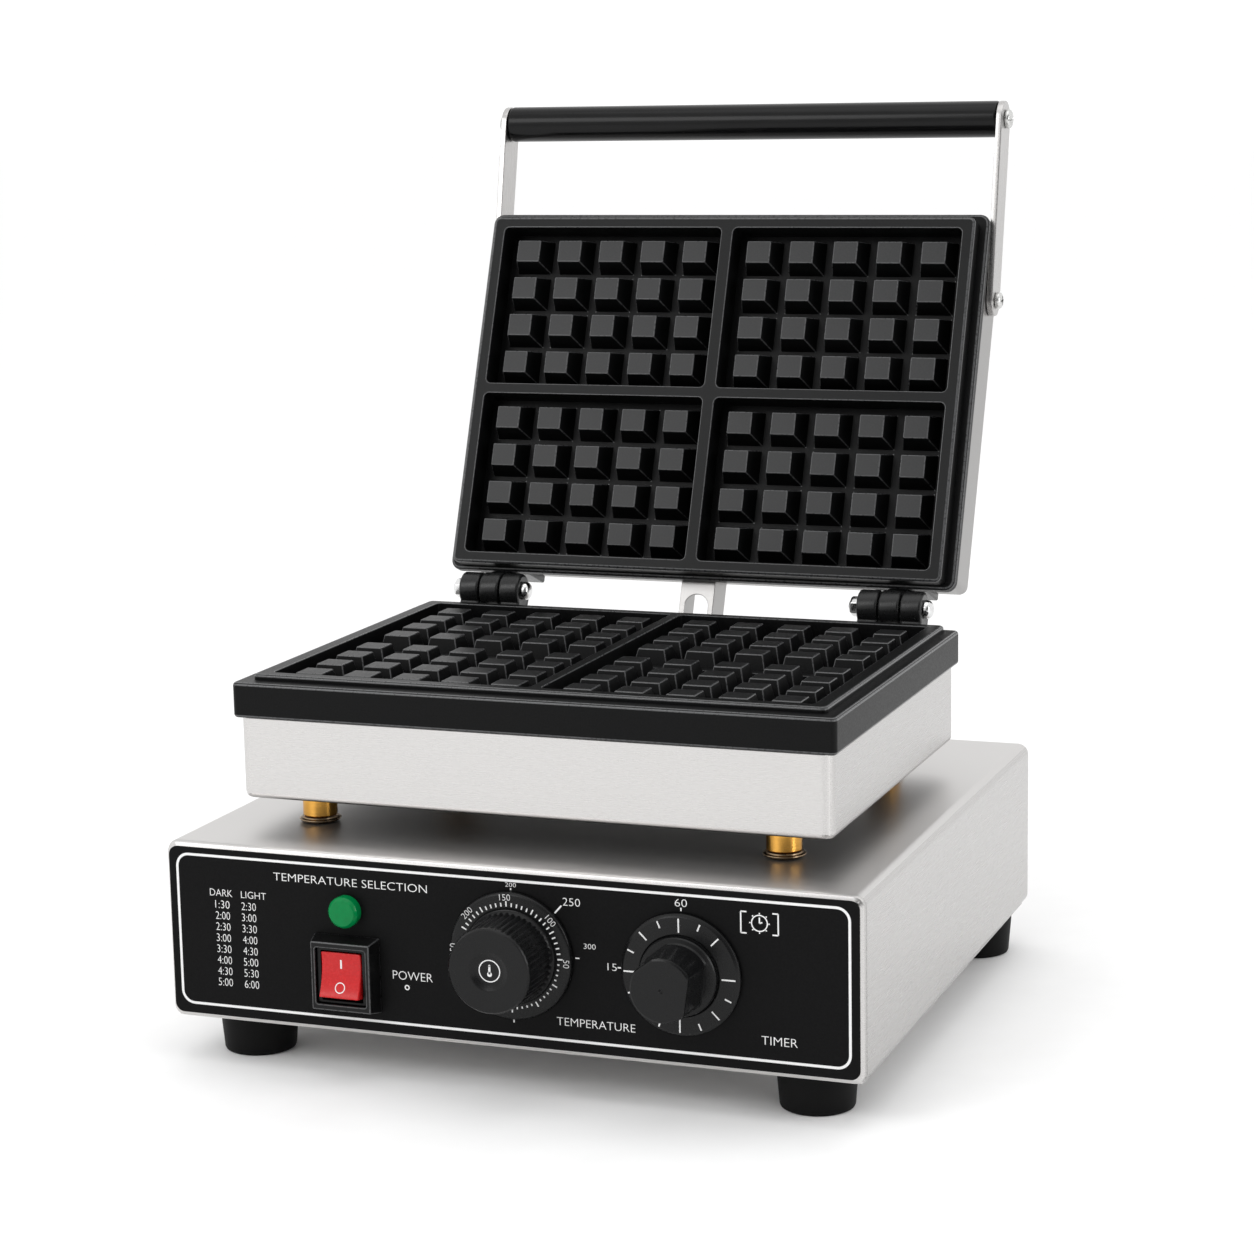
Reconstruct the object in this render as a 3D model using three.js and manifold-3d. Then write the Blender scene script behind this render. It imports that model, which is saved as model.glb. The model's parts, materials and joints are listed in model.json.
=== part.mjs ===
// Waffle maker with four pockets, lid open: control box, lower grill, hinged lid, controls.
// Millimetres, +X right, +Y back, +Z up. The design frame has y = 0 on the front of the control
// box and z = 0 on the table. The last lines move the whole group to the row frame.
import * as THREE from 'three';
import { mergeVertices } from 'three/addons/utils/BufferGeometryUtils.js';
import Module from 'manifold-3d';

const wasm = await Module();
wasm.setup();

// ---- driving dimensions ------------------------------------------------------------------
const GAP = 0.3; // left between touching pieces
const BASE = { width: 310, depth: 279, bottom: 19, top: 97, corner: 5, sheet: 1.5, bend: 2.2 };
const PANEL = { inset: 2, thick: 1, corner: 4 };
const FOOT = { frontX: 127, front: 26, rearX: 135, rear: 257, topRadius: 17, bottomRadius: 15.6 };
const FOOT_SEAT = { radius: 7, recess: 6 };
const STANDOFF = { x: 106, front: 50, rear: 200, radius: 7.5, washer: 9.2, washerThick: 2.2, stud: 3 };
const TRAY = { x: 133, front: 29.5, rear: 222.5, bottom: 110, top: 145.4, corner: 5, sheet: 1.4 };
const PLATE = { x: 135.2, front: 27.5, rear: 224.5, bottom: 145.7, bandTop: 161.2, rimTop: 163.7 };
const BAND_CORNER = 2.6;
const RIDGE = { x: 129, front: 35.5, rear: 222 };
const CAVITY = { x: 122, front: 41.5, rear: 216.5, divider: 5, crossBar: 5.2, barDrop: 7, depth: 14 };
const STUD = { columns: 5, rows: 4, draft: 3.1, recess: 1 };
const HINGE = { y: 235, z: 168, x: 100.5, radius: 8.2, knuckle: 10, play: 0.5, bolt: 2.6, lean: 21.8 };
const LID = { rim: 164.3, rimX: 123, rimFront: 46, rimRear: 222.5, flange: 9, flangeThick: 6 };
const LID_EDGE = { x: 127.6, front: 41.5, rear: 224.5, pocketX: 117, pocketFront: 51.5, pocketRear: 217 };
const LID_BACK = { x: 121, front: 48, rear: 216, roof: 4 };
const LID_BOX = { x: 126, front: 43, rear: 220, start: 15.3, end: 42, corner: 4, sheet: 1.4 };
const HANDLE = { reach: 243, drop: 14.8, radius: 8.7, halfLength: 126, arm: 3, armWidth: 15 };
const THERMOSTAT = { x: 5, z: 60.6, skirt: 27, grip: 18, gripLength: 22 };
const TIMER = { x: 78.8, z: 59.2, skirt: 25.4, grip: 13.5, gripLength: 22 };
const SWITCH = { x: -69.8, z: 46.3, width: 30, height: 32.5, proud: 8, rockerX: 9.1, rockerZ: 9.6, tilt: 10 };
const LAMP = { x: -69.6, z: 73.2, radius: 6.8, proud: 5.4 };
const GLAND = { x: -105, z: 42, bore: 4 };
const ARM_FOOT = { y: 78, z: LID.rim + 29 };
const ROCKER_PIVOT = -4.5;
const BRACKET = { halfWidth: 8.5, sheet: 1.5, cheek: 17, archRadius: 6, archDown: 16 };
const STOP_REACH = 17.3; // from the bracket's face to the end of its foot
const ELEMENT_RADIUS = 3.2;
const LOWER_ELEMENT = { x: 96, front: 50, rear: 204 };
const UPPER_ELEMENT = { x: 92, front: 58, rear: 204 };
const LOWER_BOARD = { x: 127, front: 35, rear: 217, low: 116.5, high: 134, corner: 6 };
const UPPER_BOARD = { x: 120, front: 50, rear: 213, start: 8.5, end: 38, corner: 6 };
const BULB = { x: 48, z: 141.5, front: 96, rear: 158, radius: 3, neck: 1.4 };
const TERMINALS = { left: -60, right: 0, front: 236, rear: 252, ways: 6, pitch: 10, halfWay: 3.4 };
const FLOOR_VENTS = { count: 10, pitch: 11, length: 44, width: 4, y: 150 };
const BACK_VENTS = { count: 6, pitch: 10, length: 34, width: 4, centres: [-35, 85], z: 58 };
const OPEN_TURN = -THREE.MathUtils.degToRad(90 + HINGE.lean);
const ROW_SHIFT_Y = -158.3; // puts the middle of the open machine's depth on y = 0

// ---- materials ---------------------------------------------------------------------------
const material = (color, roughness, metalness) =>
  new THREE.MeshStandardMaterial({ color, roughness, metalness, flatShading: true });
const steel = material(0xd2cfca, 0.32, 1);
const brightSteel = material(0xe0e0e0, 0.18, 1);
const zincSteel = material(0xb9bcbd, 0.4, 1);
const castIron = material(0x1d1e20, 0.5, 0.35);
const hingeIron = material(0x202124, 0.45, 0.4);
const brass = material(0xc98f36, 0.3, 1);
const panelBlack = material(0x111213, 0.45, 0);
const blackPlastic = material(0x18191b, 0.4, 0);
const rubber = material(0x141414, 0.75, 0);
const gripBlack = material(0x0c0c0d, 0.22, 0);
const rockerRed = material(0xc8242a, 0.3, 0);
const lensGreen = material(0x00884c, 0.2, 0);
const woolBeige = material(0xcfc6b0, 0.95, 0);
const elementSteel = material(0x6b6a66, 0.5, 1);

// ---- geometry helpers --------------------------------------------------------------------
/** Shared vertices only, degenerate triangles dropped, faces pointing out. */
function closedGeometry(source) {
  const bare = source.clone();
  bare.deleteAttribute('normal');
  bare.deleteAttribute('uv');
  const merged = mergeVertices(bare, 1e-4);
  const position = merged.attributes.position;
  const index = Array.from(merged.index.array);
  const kept = [];
  let volume = 0;
  const corner = [new THREE.Vector3(), new THREE.Vector3(), new THREE.Vector3()];
  for (let i = 0; i < index.length; i += 3) {
    const [a, b, c] = index.slice(i, i + 3);
    if (a === b || b === c || c === a) continue;
    kept.push(a, b, c);
    [a, b, c].forEach((vertex, k) => corner[k].fromBufferAttribute(position, vertex));
    volume += corner[0].dot(corner[1].clone().cross(corner[2]));
  }
  merged.setIndex(volume < 0 ? kept.reverse() : kept);
  return merged;
}

function toManifold(geometry) {
  const closed = closedGeometry(geometry);
  const mesh = new wasm.Mesh({
    numProp: 3,
    vertProperties: new Float32Array(closed.attributes.position.array),
    triVerts: new Uint32Array(closed.index.array),
  });
  return new wasm.Manifold(mesh);
}

function toGeometry(manifold) {
  const mesh = manifold.getMesh();
  const geometry = new THREE.BufferGeometry();
  geometry.setAttribute('position', new THREE.BufferAttribute(new Float32Array(mesh.vertProperties), 3));
  geometry.setIndex(Array.from(mesh.triVerts));
  geometry.computeVertexNormals();
  return geometry;
}

function cut(base, ...tools) {
  let body = toManifold(base);
  for (const tool of tools) body = body.subtract(toManifold(tool));
  return toGeometry(body);
}

function join(base, ...others) {
  let body = toManifold(base);
  for (const other of others) body = body.add(toManifold(other));
  return toGeometry(body);
}

/** Rounded rectangle between two corners, as an outline. */
function roundedRect(x0, y0, x1, y1, radius) {
  if (radius === 0) return polygon([[x0, y0], [x1, y0], [x1, y1], [x0, y1]]);
  const shape = new THREE.Shape();
  const r = Math.min(radius, (x1 - x0) / 2, (y1 - y0) / 2);
  shape.moveTo(x0 + r, y0);
  shape.lineTo(x1 - r, y0);
  shape.absarc(x1 - r, y0 + r, r, -Math.PI / 2, 0);
  shape.lineTo(x1, y1 - r);
  shape.absarc(x1 - r, y1 - r, r, 0, Math.PI / 2);
  shape.lineTo(x0 + r, y1);
  shape.absarc(x0 + r, y1 - r, r, Math.PI / 2, Math.PI);
  shape.lineTo(x0, y0 + r);
  shape.absarc(x0 + r, y0 + r, r, Math.PI, Math.PI * 1.5);
  return shape;
}

function polygon(points) {
  return new THREE.Shape(points.map(([a, b]) => new THREE.Vector2(a, b)));
}

const AXES = {
  x: new THREE.Matrix4().makeBasis(
    new THREE.Vector3(0, 1, 0), new THREE.Vector3(0, 0, 1), new THREE.Vector3(1, 0, 0)),
  y: new THREE.Matrix4().makeBasis(
    new THREE.Vector3(1, 0, 0), new THREE.Vector3(0, 0, 1), new THREE.Vector3(0, -1, 0)),
  z: new THREE.Matrix4(),
};

/** Outline swept from one plane to another. An x sweep's outline is in (y, z), a y sweep's in
 *  (x, z) and a z sweep's in (x, y). A bevel rounds both ends inside the given size. */
function sweep(shape, axis, from, to, { bevel = 0, steps = 1, curve = 6 } = {}) {
  const geometry = new THREE.ExtrudeGeometry(shape, {
    depth: to - from - 2 * bevel,
    bevelEnabled: bevel > 0,
    bevelThickness: bevel,
    bevelSize: bevel,
    bevelOffset: -bevel,
    bevelSegments: steps,
    curveSegments: curve,
  });
  geometry.translate(0, 0, bevel);
  geometry.applyMatrix4(AXES[axis]);
  if (axis === 'x') geometry.translate(from, 0, 0);
  if (axis === 'y') geometry.translate(0, to, 0);
  if (axis === 'z') geometry.translate(0, 0, from);
  return geometry;
}

function box(x0, x1, y0, y1, z0, z1, radius = 0, bevel = 0) {
  return sweep(roundedRect(x0, y0, x1, y1, radius), 'z', z0, z1, { bevel, curve: 3 });
}

/** Solid of revolution. The profile lists [radius, height] from the axis back to the axis. */
function turned(profile, axis, centre, segments = 24) {
  const points = profile.map(([r, h]) => new THREE.Vector2(r, h));
  const geometry = new THREE.LatheGeometry(points, segments);
  if (axis === 'x') geometry.rotateZ(-Math.PI / 2);
  if (axis === 'z') geometry.rotateX(Math.PI / 2);
  return geometry.translate(...centre);
}

function rod(radius, axis, from, to, [a, b], segments = 16) {
  const profile = [[0, from], [radius, from], [radius, to], [0, to]];
  const centre = { x: [0, a, b], y: [a, 0, b], z: [a, b, 0] }[axis];
  return turned(profile, axis, centre, segments);
}

/** Centred slots for a vented sheet, as cutting tools swept through it. */
function slots(count, pitch, length, width, [a, b], axis, from, to) {
  return Array.from({ length: count }, (_, i) => {
    const x = a + (i - (count - 1) / 2) * pitch;
    const outline = roundedRect(x - width / 2, b - length / 2, x + width / 2, b + length / 2, width / 2);
    return sweep(outline, axis, from, to, { curve: 2 });
  });
}

const machine = new THREE.Group();
const lid = new THREE.Group(); // holds the closed-lid pieces, then turns about the hinge
lid.position.set(0, HINGE.y, HINGE.z);
lid.rotation.x = OPEN_TURN;
machine.add(lid);

function piece(name, geometry, look, parent = machine) {
  const closed = closedGeometry(geometry);
  closed.computeVertexNormals();
  const mesh = new THREE.Mesh(closed, look);
  mesh.name = name;
  if (parent === lid) mesh.position.set(0, -HINGE.y, -HINGE.z);
  parent.add(mesh);
  return mesh;
}

const SIDES = [['left', -1], ['right', 1]];
const CORNERS = SIDES.flatMap(([side, sign]) =>
  ['front', 'rear'].map((end) => [`${end}_${side}`, sign, end]));

// ---- control box -------------------------------------------------------------------------
const halfBase = BASE.width / 2;

function controlHoles(grow) {
  const far = 10;
  const hole = (radius, at) => rod(radius + grow, 'y', -far, far, [at.x, at.z]);
  const halfX = SWITCH.rockerX + 2.4 + grow;
  const halfZ = SWITCH.rockerZ + 2.6 + grow;
  const window = roundedRect(SWITCH.x - halfX, SWITCH.z - halfZ, SWITCH.x + halfX, SWITCH.z + halfZ, 1);
  return [hole(5, LAMP), hole(5.2, THERMOSTAT), hole(5.2, TIMER), sweep(window, 'y', -far, far)];
}

function baseCover() {
  const { bottom, top, corner, sheet, bend, depth } = BASE;
  const skin = sweep(roundedRect(-halfBase, bottom, halfBase, top, corner), 'y', 0, depth + bend,
    { bevel: bend, steps: 2, curve: 4 });
  const inner = sweep(
    roundedRect(-halfBase + sheet, bottom - 20, halfBase - sheet, top - sheet, corner - sheet),
    'y', sheet, depth + 20, { curve: 4 });
  const rearTrim = box(-200, 200, depth, depth + 50, 0, 150);
  const studHoles = CORNERS.map(([, sign, end]) =>
    rod(STANDOFF.stud + 0.3, 'z', top - 10, top + 5, [sign * STANDOFF.x, STANDOFF[end]]));
  return cut(skin, inner, rearTrim, ...controlHoles(0), ...studHoles);
}

function bottomPlate() {
  const x = halfBase - BASE.sheet - GAP;
  const z = BASE.bottom + GAP;
  const plate = box(-x, x, BASE.sheet + GAP, BASE.depth - 3.6, z, z + 1.2, 1);
  const { count, pitch, length, width, y } = FLOOR_VENTS;
  const vents = slots(count, pitch, length, width, [0, y], 'z', z - 5, z + 5);
  const screwHoles = CORNERS.map(([, sign, end]) =>
    rod(2.4, 'z', z - 5, z + 5, footPlace(sign, end), 16));
  return cut(plate, ...vents, ...screwHoles);
}

function backPlate() {
  const x = halfBase - BASE.sheet - GAP;
  const outline = roundedRect(-x, BASE.bottom + GAP, x, BASE.top - BASE.sheet - GAP, 3);
  const plate = sweep(outline, 'y', BASE.depth - 3, BASE.depth - 1.6, { curve: 4 });
  const y0 = BASE.depth - 10;
  const y1 = BASE.depth + 10;
  const { count, pitch, length, width, centres, z } = BACK_VENTS;
  const vents = centres.flatMap((centre) =>
    slots(count, pitch, length, width, [centre, z], 'y', y0, y1));
  return cut(plate, ...vents, rod(7.3, 'y', y0, y1, [GLAND.x, GLAND.z]));
}

function controlPanel() {
  const { inset, thick, corner } = PANEL;
  const outline = roundedRect(-halfBase + inset, BASE.bottom + inset + 0.6, halfBase - inset,
    BASE.top - inset, corner);
  const sheet = sweep(outline, 'y', -GAP - thick, -GAP, { curve: 4 });
  return cut(sheet, ...controlHoles(0.1));
}

function footPlace(sign, end) {
  return [sign * FOOT[`${end}X`], FOOT[end]];
}

/** Tapered rubber foot with a countersink for its screw. */
function foot([x, y]) {
  const { topRadius, bottomRadius } = FOOT;
  const { radius, recess } = FOOT_SEAT;
  const top = BASE.bottom;
  const bore = 2.6;
  const profile = [
    [bore, recess], [radius, recess], [radius, 0], [bottomRadius - 1.2, 0], [bottomRadius, 1.2],
    [topRadius, top - 1.5], [topRadius - 1, top], [bore, top], [bore, recess],
  ];
  return turned(profile, 'z', [x, y, 0], 28);
}

function footScrew([x, y]) {
  const head = FOOT_SEAT.recess - GAP;
  const profile = [[0, head - 3.2], [3.6, head - 3.2], [5, head - 1.2], [5, head],
    [2.1, head], [2.1, BASE.bottom + 6], [0, BASE.bottom + 6]];
  return turned(profile, 'z', [x, y, 0], 12);
}

function addControlBox() {
  piece('base_cover', baseCover(), steel);
  piece('bottom_plate', bottomPlate(), steel);
  piece('back_plate', backPlate(), steel);
  piece('control_panel', controlPanel(), panelBlack);
  for (const [name, sign, end] of CORNERS) {
    piece(`foot_${name}`, foot(footPlace(sign, end)), rubber);
    piece(`foot_screw_${name}`, footScrew(footPlace(sign, end)), zincSteel);
  }
}

// ---- standoffs and lower grill -----------------------------------------------------------
/** Brass spacer with a stud at each end. */
function standoff(x, y) {
  const { radius, stud, washerThick } = STANDOFF;
  const low = BASE.top + GAP + washerThick + GAP;
  const high = TRAY.bottom - GAP;
  const profile = [
    [0, BASE.top - 6], [stud, BASE.top - 6], [stud, low], [radius, low], [radius, high],
    [stud, high], [stud, high + 5], [0, high + 5],
  ];
  return turned(profile, 'z', [x, y, 0], 20);
}

function standoffWasher(x, y) {
  const { washer, washerThick, stud } = STANDOFF;
  const low = BASE.top + GAP;
  const bore = stud + 0.3;
  const profile = [[bore, low], [washer, low], [washer, low + washerThick - 0.5],
    [washer - 0.5, low + washerThick], [bore, low + washerThick], [bore, low]];
  return turned(profile, 'z', [x, y, 0], 20);
}

function lowerHousing() {
  const { x, front, rear, bottom, top, corner, sheet } = TRAY;
  const skin = box(-x, x, front, rear, bottom, top + 3, corner, 2.5);
  const inner = box(-x + sheet, x - sheet, front + sheet, rear - sheet, bottom + sheet, top + 20,
    corner - sheet);
  const trim = box(-200, 200, 0, 300, top, top + 20);
  const holes = CORNERS.map(([, sign, end]) =>
    rod(STANDOFF.stud + 0.3, 'z', bottom - 5, bottom + 5, [sign * STANDOFF.x, STANDOFF[end]]));
  return cut(skin, inner, trim, ...holes);
}

/** Tapered block between two rectangles that share a centre. */
function taperedBlock(x, y, low, high, halfLow, halfHigh) {
  const ring = ([hx, hy], z) => [[-hx, -hy, z], [hx, -hy, z], [hx, hy, z], [-hx, hy, z]];
  const corners = [...ring(halfLow, low), ...ring(halfHigh, high)].map((p) => [p[0] + x, p[1] + y, p[2]]);
  const faces = [[0, 2, 1], [0, 3, 2], [4, 5, 6], [4, 6, 7]];
  for (let i = 0; i < 4; i += 1) {
    const j = (i + 1) % 4;
    faces.push([i, j, 4 + j], [i, 4 + j, 4 + i]);
  }
  const geometry = new THREE.BufferGeometry();
  geometry.setAttribute('position', new THREE.Float32BufferAttribute(corners.flat(), 3));
  geometry.setIndex(faces.flat());
  return geometry;
}

/** Studs of one pocket. Floor and top are heights, so a lid's studs point down. */
function pocketStuds(x0, x1, y0, y1, floor, top) {
  const pitchX = (x1 - x0) / (STUD.columns + 0.22);
  const pitchY = (y1 - y0) / (STUD.rows + 0.22);
  const studs = [];
  for (let column = 0; column < STUD.columns; column += 1) {
    for (let row = 0; row < STUD.rows; row += 1) {
      const x = (x0 + x1) / 2 + (column - (STUD.columns - 1) / 2) * pitchX;
      const y = (y0 + y1) / 2 + (row - (STUD.rows - 1) / 2) * pitchY;
      const topHalf = [pitchX * 0.272, pitchY * 0.285];
      const floorHalf = topHalf.map((half) => half + STUD.draft);
      const low = Math.min(floor, top);
      const high = Math.max(floor, top);
      studs.push(floor < top
        ? taperedBlock(x, y, low - 0.5, high, floorHalf, topHalf)
        : taperedBlock(x, y, low, high + 0.5, topHalf, floorHalf));
    }
  }
  return studs;
}

/** The four pocket rectangles left by a fore-and-aft divider and a cross bar. */
function pocketCells(halfX, front, rear, divider, bar) {
  const middle = (front + rear) / 2;
  return [-1, 1].flatMap((sign) => {
    const [x0, x1] = sign < 0 ? [-halfX, -divider / 2] : [divider / 2, halfX];
    return [[x0, x1, front, middle - bar / 2], [x0, x1, middle + bar / 2, rear]];
  });
}

function lowerPlate() {
  const { x, front, rear, bottom, bandTop, rimTop } = PLATE;
  const floor = rimTop - CAVITY.depth;
  const band = box(-x, x, front, rear, bottom, bandTop, BAND_CORNER, 0.9);
  const ridge = box(-RIDGE.x, RIDGE.x, RIDGE.front, RIDGE.rear, bottom + 4, rimTop, 3, 0.8);
  const cells = pocketCells(CAVITY.x, CAVITY.front, CAVITY.rear, CAVITY.divider, CAVITY.crossBar);
  const pockets = cells.map(([x0, x1, y0, y1]) => box(x0, x1, y0, y1, floor, rimTop + 10, 2.5));
  // The cross bar ends well below the stud tops and the divider runs on over it.
  const middle = (CAVITY.front + CAVITY.rear) / 2;
  const barTrim = box(-CAVITY.x, CAVITY.x, middle - 9, middle + 9, rimTop - CAVITY.barDrop, rimTop + 10);
  const halfDivider = CAVITY.divider / 2;
  const divider = box(-halfDivider, halfDivider, middle - 25, middle + 25, floor - 1, rimTop);
  const studs = cells.flatMap((cell) => pocketStuds(...cell, floor, rimTop - STUD.recess));
  return join(cut(join(band, ridge), ...pockets, barTrim), divider, ...studs);
}

/** Sheathed heating rod bent into three parallel runs, ends at the rear. */
function heatingElement(z, { x: halfX, front, rear }) {
  const bends = [-halfX, -halfX / 3, halfX / 3, halfX];
  const path = new THREE.CurvePath();
  const bendRadius = (bends[1] - bends[0]) / 2;
  const run = (x, y0, y1) => path.add(new THREE.LineCurve3(
    new THREE.Vector3(x, y0, z), new THREE.Vector3(x, y1, z)));
  const turn = (x0, x1, y, bulge) => path.add(new THREE.CubicBezierCurve3(
    new THREE.Vector3(x0, y, z), new THREE.Vector3(x0, y + bulge, z),
    new THREE.Vector3(x1, y + bulge, z), new THREE.Vector3(x1, y, z)));
  const bulge = bendRadius * 1.33;
  run(bends[0], rear, front + bendRadius);
  turn(bends[0], bends[1], front + bendRadius, -bulge);
  run(bends[1], front + bendRadius, rear - bendRadius);
  turn(bends[1], bends[2], rear - bendRadius, bulge);
  run(bends[2], rear - bendRadius, front + bendRadius);
  turn(bends[2], bends[3], front + bendRadius, -bulge);
  run(bends[3], front + bendRadius, rear);
  const section = new THREE.Shape().absarc(0, 0, ELEMENT_RADIUS, 0, Math.PI * 2);
  return new THREE.ExtrudeGeometry(section, {
    extrudePath: path, steps: 44, curveSegments: 4, bevelEnabled: false,
  });
}

/** Sensing bulb of the thermostat, a rod with a thinner neck towards the rear. */
function thermostatBulb() {
  const { x, z, front, rear, radius, neck } = BULB;
  const profile = [[0, front], [radius - 0.6, front], [radius, front + 2], [radius, rear - 8],
    [neck, rear - 5], [neck, rear], [0, rear]];
  return turned(profile, 'y', [x, 0, z], 16);
}

function addLowerGrill() {
  for (const [name, sign, end] of CORNERS) {
    piece(`standoff_${name}`, standoff(sign * STANDOFF.x, STANDOFF[end]), brass);
    piece(`standoff_washer_${name}`, standoffWasher(sign * STANDOFF.x, STANDOFF[end]), brass);
  }
  piece('lower_housing', lowerHousing(), steel);
  piece('lower_plate', lowerPlate(), castIron);
  piece('lower_heating_element',
    heatingElement(PLATE.bottom - GAP - ELEMENT_RADIUS, LOWER_ELEMENT), elementSteel);
  piece('thermostat_bulb', thermostatBulb(), brightSteel);
  const { x, front, rear, low, high, corner } = LOWER_BOARD;
  piece('lower_insulation', box(-x, x, front, rear, low, high, corner), woolBeige);
}

// ---- lid, in its closed place ------------------------------------------------------------
function upperPlate() {
  const rim = LID.rim;
  const flange = rim + LID.flange;
  const flangeTop = flange + LID.flangeThick;
  const floor = rim + CAVITY.depth;
  const raised = box(-LID.rimX, LID.rimX, LID.rimFront, LID.rimRear, rim, flange + 3, 3, 0.8);
  const collar = box(-LID_EDGE.x, LID_EDGE.x, LID_EDGE.front, LID_EDGE.rear, flange, flangeTop, 5, 1);
  const back = box(-LID_BACK.x, LID_BACK.x, LID_BACK.front, LID_BACK.rear, flange + 3,
    floor + LID_BACK.roof, 4);
  const divider = 6;
  const cells = pocketCells(LID_EDGE.pocketX, LID_EDGE.pocketFront, LID_EDGE.pocketRear, divider,
    CAVITY.crossBar);
  const pockets = cells.map(([x0, x1, y0, y1]) => box(x0, x1, y0, y1, rim - 10, floor, 2.5));
  const studs = cells.flatMap((cell) => pocketStuds(...cell, floor, rim + 2 * STUD.recess));
  return join(cut(join(raised, collar, back), ...pockets), ...studs);
}

function upperHousing() {
  const { x, front, rear, start, end, corner, sheet } = LID_BOX;
  const low = LID.rim + start;
  const high = LID.rim + end;
  const skin = box(-x, x, front, rear, low - 4, high, corner, 2.2);
  const inner = box(-x + sheet, x - sheet, front + sheet, rear - sheet, low - 20, high - sheet,
    corner - sheet);
  const trim = box(-200, 200, 0, 300, low - 20, low);
  return cut(skin, inner, trim);
}

function handleArm(sign) {
  const barY = HINGE.y - HANDLE.reach;
  const barZ = LID.rim + HANDLE.drop;
  const half = HANDLE.armWidth / 2;
  const footY = ARM_FOOT.y;
  const footZ = ARM_FOOT.z;
  // Straight strip with round ends from the bar to its foot on the lid's side.
  const slope = Math.atan2(footZ - barZ, footY - barY);
  const outline = new THREE.Shape();
  outline.absarc(barY, barZ, half + 1.2, slope + Math.PI / 2, slope + Math.PI * 1.5);
  outline.absarc(footY, footZ, half, slope - Math.PI / 2, slope + Math.PI / 2);
  const inside = LID_BOX.x + GAP;
  const [from, to] = sign > 0 ? [inside, inside + HANDLE.arm] : [-inside - HANDLE.arm, -inside];
  const strip = sweep(outline, 'x', from, to, { curve: 8 });
  const hole = (y, z, radius) => rod(radius, 'x', -200, 200, [y, z], 16);
  return cut(strip, hole(barY, barZ, 2.7), hole(footY, footZ, 2.2));
}

/** Pan-head screw lying along x, its head on the outer side. */
function sideScrew(sign, face, head, shank, length, y, z) {
  const profile = [[0, 0], [shank, 0], [shank, length], [head, length], [head, length + 1.4],
    [head * 0.6, length + 2.6], [0, length + 2.9]];
  const geometry = turned(profile, 'x', [0, 0, 0], 12);
  if (sign < 0) geometry.rotateZ(Math.PI);
  return geometry.translate(sign * (face - length), y, z);
}

function handleGrip() {
  const { radius, halfLength } = HANDLE;
  const bore = 4.3;
  const profile = [[bore, -halfLength], [radius - 0.8, -halfLength], [radius, -halfLength + 0.8],
    [radius, halfLength - 0.8], [radius - 0.8, halfLength], [bore, halfLength], [bore, -halfLength]];
  return turned(profile, 'x', [0, HINGE.y - HANDLE.reach, LID.rim + HANDLE.drop], 36);
}

function handleRod() {
  const half = LID_BOX.x;
  const tube = rod(4, 'x', -half, half, [HINGE.y - HANDLE.reach, LID.rim + HANDLE.drop]);
  const tap = (from, to) => rod(2.6, 'x', from, to, [HINGE.y - HANDLE.reach, LID.rim + HANDLE.drop], 16);
  return cut(tube, tap(-half - 5, -half + 14), tap(half - 14, half + 5));
}

/** Bent sheet under the lid's rear wall: an arched face, two cheeks and the stop foot. */
function lidStopBracket() {
  const near = LID.rim + 15.6; // face plane, measured from the lid's rim plane
  const lowEnd = HINGE.y + 14; // below the hinge when the lid is open
  const top = LID_BOX.rear + GAP;
  const { halfWidth, sheet, cheek, archRadius, archDown } = BRACKET;
  const face = box(-halfWidth, halfWidth, top, lowEnd, near, near + sheet);
  const side = (x) => box(x, x + sheet, top, lowEnd - 3, near, near + cheek);
  const root = box(-halfWidth, halfWidth, top, top + sheet, near, near + cheek);
  const footPad = box(-halfWidth, halfWidth, lowEnd - sheet, lowEnd, near - STOP_REACH, near + 1);
  const arch = new THREE.Shape();
  arch.moveTo(-archRadius, lowEnd - 3);
  arch.lineTo(archRadius, lowEnd - 3);
  arch.absarc(0, top + archDown, archRadius, 0, -Math.PI, true);
  const opening = sweep(arch, 'z', near - 3, near + 3, { curve: 8 });
  return cut(join(face, side(-halfWidth), side(halfWidth - sheet), root, footPad), opening);
}

function addLid() {
  piece('upper_plate', upperPlate(), castIron, lid);
  piece('upper_housing', upperHousing(), steel, lid);
  const casting = LID.rim + CAVITY.depth + LID_BACK.roof;
  piece('upper_heating_element',
    heatingElement(casting + GAP + ELEMENT_RADIUS, UPPER_ELEMENT), elementSteel, lid);
  const { x, front, rear, start, end, corner } = UPPER_BOARD;
  piece('upper_insulation', box(-x, x, front, rear, casting + start, LID.rim + end, corner),
    woolBeige, lid);
  piece('handle_grip', handleGrip(), gripBlack, lid);
  piece('handle_rod', handleRod(), zincSteel, lid);
  for (const [side, sign] of SIDES) {
    const face = LID_BOX.x + 2 * GAP + HANDLE.arm;
    piece(`handle_arm_${side}`, handleArm(sign), steel, lid);
    piece(`handle_end_screw_${side}`, sideScrew(sign, face, 4.6, 2.4, 14,
      HINGE.y - HANDLE.reach, LID.rim + HANDLE.drop), brightSteel, lid);
    piece(`arm_screw_${side}`, sideScrew(sign, face, 4, 1.9, HANDLE.arm + GAP * 1.5,
      ARM_FOOT.y, ARM_FOOT.z), brightSteel, lid);
  }
  piece('lid_stop_bracket', lidStopBracket(), steel, lid);
}

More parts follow.
